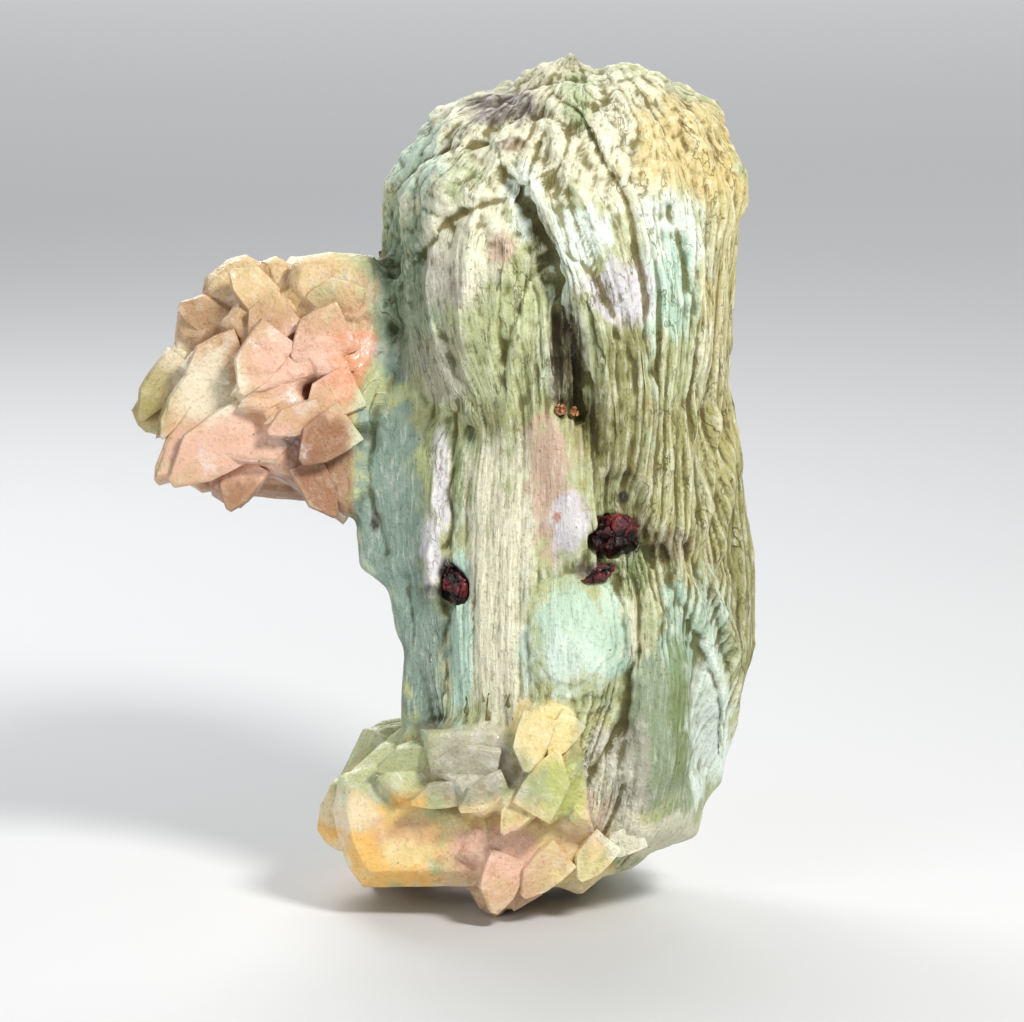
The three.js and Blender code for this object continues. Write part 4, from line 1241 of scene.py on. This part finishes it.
# %% [markdown]
# Slices
#
# The skin of the sheaf has far more triangles than one piece should have, so it is cut across into a
# few closed slices that meet exactly. A cut would show as a line in the shading, because the normals
# along it would change, so each slice is given the normals that the whole had. The new points on a cut
# take what is stored on the nearest point of the whole.

# %% Closed slices of the sheaf
SLICE_HEIGHTS = (-20, 19, 36, 50, 64, 110)
SLICE_WIDTH = 200
CUT_REACH = 0.001
CUT_NEIGHBOURS = 1
NUMBERS = ("near_height", "wide_height", "crystal", "lumpy", "calm", "upright")
STORED = ("tint", *NUMBERS, "flow", "plumb", "whole_normal")


def slab(low, high):
    """A box that holds everything between two heights of the drawing."""
    bpy.ops.object.select_all(action="DESELECT")
    bpy.ops.mesh.primitive_cube_add(size=1)
    box = bpy.context.object
    box.name = "slab"
    box.scale = (SLICE_WIDTH * MM, SLICE_WIDTH * MM, (high - low) * MM)
    box.rotation_euler = (-LEAN, 0, 0)
    box.location = place(0, (low + high) / 2, 0)
    bpy.ops.object.transform_apply(location=True, rotation=True, scale=True)
    return box


def layer_values(layer):
    """What is stored on the points, as one row of numbers per point."""
    field, width = FIELDS[layer.data_type]
    values = np.zeros((len(layer.data), width), dtype=np.float32)
    layer.data.foreach_get(field, values.ravel())
    return field, values


def beside_cuts(piece, low, high, reach):
    """The numbers of the points that are near one of two heights."""
    _, v, _ = drawn(places_of(piece))
    return np.flatnonzero((np.abs(v - low) < reach) | (np.abs(v - high) < reach))


def nearest_points(piece, numbers, spots):
    """The number of the nearest of some points of a piece, for each of the spots."""
    tree = KDTree(len(numbers))
    for number, point in zip(numbers.tolist(), places_of(piece)[numbers].tolist()):
        tree.insert(point, number)
    tree.balance()
    return [tree.find(spot)[1] for spot in spots.tolist()]


def mend_cut(part, whole, low, high):
    """The new points on the cuts get what is stored on the nearest point of the whole."""
    on_cut = beside_cuts(part, low, high, CUT_REACH)
    near = beside_cuts(whole, low, high, CUT_NEIGHBOURS)
    found = nearest_points(whole, near, places_of(part)[on_cut])
    for name in STORED:
        field, values = layer_values(part.data.attributes[name])
        values[on_cut] = layer_values(whole.data.attributes[name])[1][found]
        part.data.attributes[name].data.foreach_set(field, values.ravel())


def cut_out(piece, low, high, name):
    """A closed copy of what a piece has between two heights of the drawing."""
    part = piece.copy()
    part.data = piece.data.copy()
    part.name = name
    bpy.context.scene.collection.objects.link(part)
    box = slab(low, high)
    apply_modifier(part, "BOOLEAN", operation="INTERSECT", solver="MANIFOLD", object=box)
    bpy.data.objects.remove(box)
    part.data.materials.clear()
    no_slots = np.zeros(len(part.data.polygons), dtype=np.int32)
    part.data.polygons.foreach_set("material_index", no_slots)
    return part


def slice_of(piece, low, high, name):
    """A slice of a piece that is shaded as the whole was."""
    part = cut_out(piece, low, high, name)
    select_only(part)
    bpy.ops.object.shade_smooth()
    mend_cut(part, piece, low, high)
    normals = layer_values(part.data.attributes["whole_normal"])[1]
    part.data.normals_split_custom_set_from_vertices(normals.tolist())
    part.data.attributes.remove(part.data.attributes["whole_normal"])
    return part


store(body, "whole_normal", "FLOAT_VECTOR", normals_of(body))
slices = [
    slice_of(body, low, high, "sheaf_" + str(number + 1))
    for number, (low, high) in enumerate(zip(SLICE_HEIGHTS, SLICE_HEIGHTS[1:]))
]
bpy.data.objects.remove(body)
print("Slices of", [triangles_of(part) for part in slices], "triangles")

# %% [markdown]
# The grains of the other minerals
#
# Dark red and orange grains sit in pockets of the sheaf. They are rough and pitted, so a copy of each is
# given a fine skin that is eaten away where a rolling noise is high. The red ones are nearly black in
# their pits and glint on their faces, and the orange ones are glassy.

# %% Rough grains
GRAIN_SKIN = 0.11
CELL_GROOVE = 0.25
PIT_DEPTH = {"red_mineral": 0.75, "orange_mineral": 0.28}
PIT_SIZE = {"red_mineral": 1.5, "orange_mineral": 0.9}


def rough_grain(node_name):
    """A refined copy of a grain, jagged with pits."""
    slot = GRAIN_NODES[node_name]
    grain = merged_copy(node_name, node_name + "_rough")
    apply_modifier(grain, "REMESH", mode="VOXEL", voxel_size=GRAIN_SKIN * MM, adaptivity=0)
    u, v, w = drawn(places_of(grain))
    size = PIT_SIZE[slot]
    cells, gap = rounded_cells(u / size, v / size, w / size, seed=131)
    eaten = ramp(layered(u / size, v / size, w / size, seed=133), -0.15, 0.5)
    heights = CELL_GROOVE * (ramp(gap, 0, 0.15) - 1) - PIT_DEPTH[slot] * eaten * (0.4 + cells)
    raise_skin(grain, heights)
    store(grain, "pit", "FLOAT", -heights)
    return grain


grain_pieces = {name: rough_grain(name) for name in GRAIN_NODES}
print({name: triangles_of(grain) for name, grain in grain_pieces.items()})

# %% [markdown]
# Maths on materials
#
# A material is a graph of small steps. Writing each step as an expression keeps it readable: the class
# below wraps a socket, and plus, minus, times and so on add the Math node that does it.

# %% Sockets that calculate
class Value:
    """A number that may change over the surface."""

    def __init__(self, finish, socket):
        self.finish = finish
        self.socket = socket

    def step(self, operation, *values, clamp=False):
        """Adds the Math node that does this with these values."""
        settings = {"operation": operation, "use_clamp": clamp}
        inputs = dict(enumerate(values))
        return Value(self.finish, self.finish.node("ShaderNodeMath", settings, inputs).outputs[0])

    def __add__(self, other):
        return self.step("ADD", self, other)

    __radd__ = __add__

    def __sub__(self, other):
        return self.step("SUBTRACT", self, other)

    def __rsub__(self, other):
        return self.step("SUBTRACT", other, self)

    def __mul__(self, other):
        return self.step("MULTIPLY", self, other)

    __rmul__ = __mul__

    def __abs__(self):
        return self.step("ABSOLUTE", self)

    def clamped(self):
        """The number held between 0 and 1."""
        return self.step("ADD", self, 0, clamp=True)


# The places of a Mix node's colour sockets, which share their names with those for numbers.
MIX_FACTOR = 0
MIX_ONE = 6
MIX_OTHER = 7
MIX_RESULT = 2


class Finish:
    """A material that is built node by node."""

    def __init__(self, name):
        self.material = bpy.data.materials.new(name)
        self.material.use_nodes = True
        self.tree = self.material.node_tree
        self.shader = self.tree.nodes["Principled BSDF"]

    def node(self, kind, settings=None, inputs=None):
        """Adds a node, sets it up and links or fills its inputs."""
        made = self.tree.nodes.new(kind)
        for key, value in (settings or {}).items():
            setattr(made, key, value)
        for key, value in (inputs or {}).items():
            self.join(made.inputs[key], value)
        return made

    def join(self, socket, value):
        """Links a socket to a value, or sets it to a fixed one."""
        if isinstance(value, Value):
            value = value.socket
        if isinstance(value, bpy.types.NodeSocket):
            self.tree.links.new(value, socket)
        else:
            socket.default_value = value

    def stored(self, name, output):
        """What is stored on the piece's points under a name."""
        return self.node("ShaderNodeAttribute", {"attribute_name": name}).outputs[output]

    def number(self, name):
        """A stored number."""
        return Value(self, self.stored(name, "Fac"))

    def object_place(self):
        """The place on the piece, in metres."""
        return self.node("ShaderNodeTexCoord").outputs["Object"]

    def scaled(self, vector, scale):
        """A vector with each of its parts multiplied."""
        made = self.node("ShaderNodeVectorMath", {"operation": "MULTIPLY"}, {0: vector, 1: scale})
        return made.outputs[0]

    def rolling(self, vector, scale, detail=3.0, roughness=0.55):
        """Noise from 0 to 1."""
        inputs = {"Vector": vector, "Scale": scale, "Detail": detail, "Roughness": roughness}
        return Value(self, self.node("ShaderNodeTexNoise", None, inputs).outputs["Fac"])

    def between(self, value, low, high):
        """A smooth step from 0 at low to 1 at high."""
        settings = {"interpolation_type": "SMOOTHSTEP"}
        inputs = {"Value": value, "From Min": low, "From Max": high}
        return Value(self, self.node("ShaderNodeMapRange", settings, inputs).outputs["Result"])

    def mixed(self, factor, one, other, blend="MIX"):
        """A colour between two, or the first one changed by the second."""
        settings = {"data_type": "RGBA", "blend_type": blend}
        made = self.node("ShaderNodeMix", settings, {MIX_FACTOR: factor, MIX_ONE: one, MIX_OTHER: other})
        return made.outputs[MIX_RESULT]

    def bumped(self, height, strength, distance):
        """The height as bumps on the surface."""
        inputs = {"Strength": strength, "Distance": distance, "Height": height}
        bump = self.node("ShaderNodeBump", None, inputs)
        self.join(self.shader.inputs["Normal"], bump.outputs["Normal"])


print("Expressions on values add their own nodes")

# %% [markdown]
# The finish of the mineral
#
# Heulandite is glassy on its cleavage faces with a pearly glow, and satin on the rough edges of the
# blades. The tint is broken up by fine streaks along the blades. Painted shade darkens the hollows and the
# low streaks, a painted highlight pales the crests and the high streaks, a pale sheen is painted on the
# pearly spots, and a thin coat that comes and goes makes the pearly glints.

# %% Patterns of the surface
# Painted shade for the hollows and the low streaks, warmer on the crystals; the same tones also darken the
# cracks and the grains.
SHADE_AND_STAIN = (0.24, 0.20, 0.075, 1)
WARM_SHADE_AND_STAIN = (0.5, 0.32, 0.17, 1)
CLOUD = (0.80, 0.79, 0.70, 1)
# A pale tone for the painted highlight on the crests and the high streaks.
PAINTED_HIGHLIGHT = (0.93, 0.93, 0.83, 1)
BRIGHTER = (1.35, 1.35, 1.3, 1)
SPECK = (0.12, 0.09, 0.05, 1)
# A pale pinkish tone painted on the pearly spots of the crystals as a sheen.
PAINTED_PEARL_SHEEN = (0.86, 0.78, 0.80, 1)
COAT_ROUGHNESS = 0.2


def combed_noise(finish, scale, detail, roughness):
    """Noise that is stretched along the blades, or straight down where the grain is upright."""
    parts = []
    for name in ("flow", "plumb"):
        vector = finish.scaled(finish.stored(name, "Vector"), scale)
        parts.append(finish.rolling(vector, 1.0, detail, roughness))
    upright = finish.number("upright")
    return parts[0] * (1 - upright) + parts[1] * upright


def hair_cracks(finish, skin):
    """Dark hair lines along the blades, in some places only."""
    line = abs(combed_noise(finish, (2.0, 1.8, 0.0), 4.0, 0.6) - 0.5)
    somewhere = finish.between(finish.rolling(skin.here, 330.0, 2.0, 0.5), 0.46, 0.6)
    return finish.between(line, 0.02, 0.0) * (1 - skin.crystal) * (1 - skin.calm) * somewhere


def skin_patterns(finish):
    """All that changes over the mineral, by name, mostly from 0 to 1."""
    skin = SimpleNamespace(here=finish.object_place(), tint=finish.stored("tint", "Color"))
    for name in NUMBERS:
        setattr(skin, name, finish.number(name))
    combed = combed_noise(finish, (5.2, 3.0, 0.0), 4.0, 0.7)
    lumps = finish.rolling(skin.here, 620.0, 4.0, 0.68)
    skin.surface = combed * (1 - skin.lumpy) + lumps * skin.lumpy
    skin.cracks = hair_cracks(finish, skin)
    skin.clouds = finish.rolling(skin.here, 240.0, 3.0, 0.6)
    skin.grains = finish.rolling(skin.here, 2600.0, 2.0, 0.65)
    skin.specks = finish.rolling(skin.here, 1900.0, 1.0, 0.7)
    near, wide = skin.near_height, skin.wide_height
    # Hollows lie below their smoothed surroundings and get painted shade in the colour.
    hollow = finish.between(near, 0.0, -0.1) * 0.8 + finish.between(wide, -0.12, -0.8) * 0.5
    skin.hollow = hollow.clamped()
    # Crests stand out from their surroundings and get a painted highlight in the colour.
    skin.crest = finish.between(near, 0.01, 0.1) * 0.8 + finish.between(wide, 0.2, 0.9) * 0.25
    glow = finish.between(skin.clouds, 0.56, 0.7) * finish.between(skin.grains, 0.45, 0.6)
    skin.pearly = glow * skin.crystal
    return skin


print("The patterns read", len(NUMBERS), "stored numbers")


# %% Heulandite
def mineral_color(finish, skin):
    """The tint with a painted highlight on the crests and high streaks, painted shade in the hollows and
    low streaks, dark cracks, grains and specks, and a painted pearly sheen.
    """
    crystal = skin.crystal
    shade_and_stain = finish.mixed(crystal, SHADE_AND_STAIN, WARM_SHADE_AND_STAIN)
    shaded_and_stained = finish.mixed(1.0, skin.tint, shade_and_stain, "MULTIPLY")
    # The painted highlight: the tint made brighter and mixed with a pale tone.
    pale = finish.mixed(0.5, finish.mixed(1.0, skin.tint, BRIGHTER, "MULTIPLY"), PAINTED_HIGHLIGHT)
    # Where the bump relief is low the colour gets painted shade, and where it is high a painted highlight.
    groove_shade = finish.between(skin.surface, 0.46, 0.34) * (1 - skin.calm * 0.75)
    bright = finish.between(skin.surface, 0.52, 0.66) * (1 - skin.calm * 0.5)
    layers = (
        (bright * (0.8 - crystal * 0.45), pale),
        ((skin.crest * (0.7 - crystal * 0.6)).clamped(), pale),
        (groove_shade * (0.75 - crystal * 0.4), shaded_and_stained),
        # Painted shade in the hollows.
        (skin.hollow * (0.95 - crystal * 0.35), shaded_and_stained),
        (skin.cracks * 0.7, shaded_and_stained),
        (finish.between(skin.grains, 0.55, 0.7) * 0.35, shaded_and_stained),
        (finish.between(skin.specks, 0.74, 0.8) * 0.7, SPECK),
        (skin.pearly * 0.45, PAINTED_PEARL_SHEEN),
    )
    color = finish.mixed(finish.between(skin.clouds, 0.55, 0.8) * 0.35, skin.tint, CLOUD)
    for share, layer in layers:
        color = finish.mixed(share, color, layer)
    return color


def mineral_finish():
    """Satin blades and glassy crystal faces."""
    finish = Finish("heulandite_satin")
    skin = skin_patterns(finish)
    crystal = skin.crystal
    rough = 0.62 - crystal * 0.12 - skin.pearly * 0.3 + skin.hollow * 0.2
    coat = finish.between(skin.grains, 0.52, 0.64) * (0.12 + crystal * 0.5)
    height = skin.surface * (1.5 - crystal * 0.8) * (1 - skin.calm * 0.6)
    height = height + skin.grains * 0.35 - skin.cracks * 0.3
    finish.join(finish.shader.inputs["Base Color"], mineral_color(finish, skin))
    finish.join(finish.shader.inputs["Roughness"], rough.clamped())
    finish.join(finish.shader.inputs["Coat Weight"], coat.clamped())
    finish.shader.inputs["Coat Roughness"].default_value = COAT_ROUGHNESS
    finish.bumped(height, 0.75, 0.5 * MM)
    return finish.material


mineral = mineral_finish()
print(mineral.name, "has", len(mineral.node_tree.nodes), "nodes")

# %% [markdown]
# The finishes of the grains
#
# Both kinds of grain share one recipe: a dark and a bright tone in clouds, pale grains over them, and
# pits that are darker still. Only the colours and the gloss differ, so one function makes both.

# %% Dark red and orange
PIT_SHADE = (0.12, 0.09, 0.09, 1)
RED_TONES = {
    "dark": (0.035, 0.003, 0.004, 1),
    "bright": (0.19, 0.012, 0.016, 1),
    "pale": (0.34, 0.05, 0.05, 1),
}
ORANGE_TONES = {
    "dark": (0.26, 0.09, 0.03, 1),
    "bright": (0.55, 0.25, 0.1, 1),
    "pale": (0.85, 0.6, 0.42, 1),
}


def grain_finish(name, tones, glint):
    """Dark in the pits and brighter on the faces, with small glossy spots."""
    finish = Finish(name)
    here = finish.object_place()
    clouds = finish.rolling(here, 700.0, 3.0, 0.65)
    grains = finish.rolling(here, 3200.0, 2.0, 0.6)
    color = finish.mixed(finish.between(clouds, 0.35, 0.65), tones["dark"], tones["bright"])
    color = finish.mixed(finish.between(grains, 0.58, 0.7) * 0.6, color, tones["pale"])
    shaded = finish.mixed(1.0, color, PIT_SHADE, "MULTIPLY")
    color = finish.mixed(finish.between(finish.number("pit"), 0.05, 0.4), color, shaded)
    rough = 0.62 - finish.between(clouds, 0.45, 0.6) * glint
    finish.join(finish.shader.inputs["Base Color"], color)
    finish.join(finish.shader.inputs["Roughness"], rough.clamped())
    finish.bumped(grains + clouds * 1.5, 0.6, 0.2 * MM)
    return finish.material


GRAIN_FINISHES = {
    "red_mineral": grain_finish("garnet_red", RED_TONES, 0.4),
    "orange_mineral": grain_finish("amber_orange", ORANGE_TONES, 0.45),
}
print("Grain finishes:", [material.name for material in GRAIN_FINISHES.values()])

# %% [markdown]
# Dressing
#
# Every piece gets its finish and rides on a body, and the node that it stands for is hidden. The whole
# specimen is one body, so all of them ride on the root. The crystals and grains keep a sharp edge wherever
# two faces meet at more than a set angle, and are shaded smooth elsewhere.

# %% Dressing the grains
GRAIN_CREASE = math.radians(35)
CRYSTAL_CREASE = math.radians(22)

for name, grain in grain_pieces.items():
    grain.data.materials.append(GRAIN_FINISHES[GRAIN_NODES[name]])
    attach(grain, "root")
    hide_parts(name)
    select_only(grain)
    bpy.ops.object.shade_smooth_by_angle(angle=GRAIN_CREASE)
print(len(grain_pieces), "grains dressed")

# %% Dressing the sheaf and the crystals
for piece in (*slices, cluster, foot):
    piece.data.materials.append(mineral)
    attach(piece, "root")
    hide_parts("heulandite_cluster")
    print(piece.name, triangles_of(piece), "triangles")

for piece in (cluster, foot):
    select_only(piece)
    bpy.ops.object.shade_smooth_by_angle(angle=CRYSTAL_CREASE)
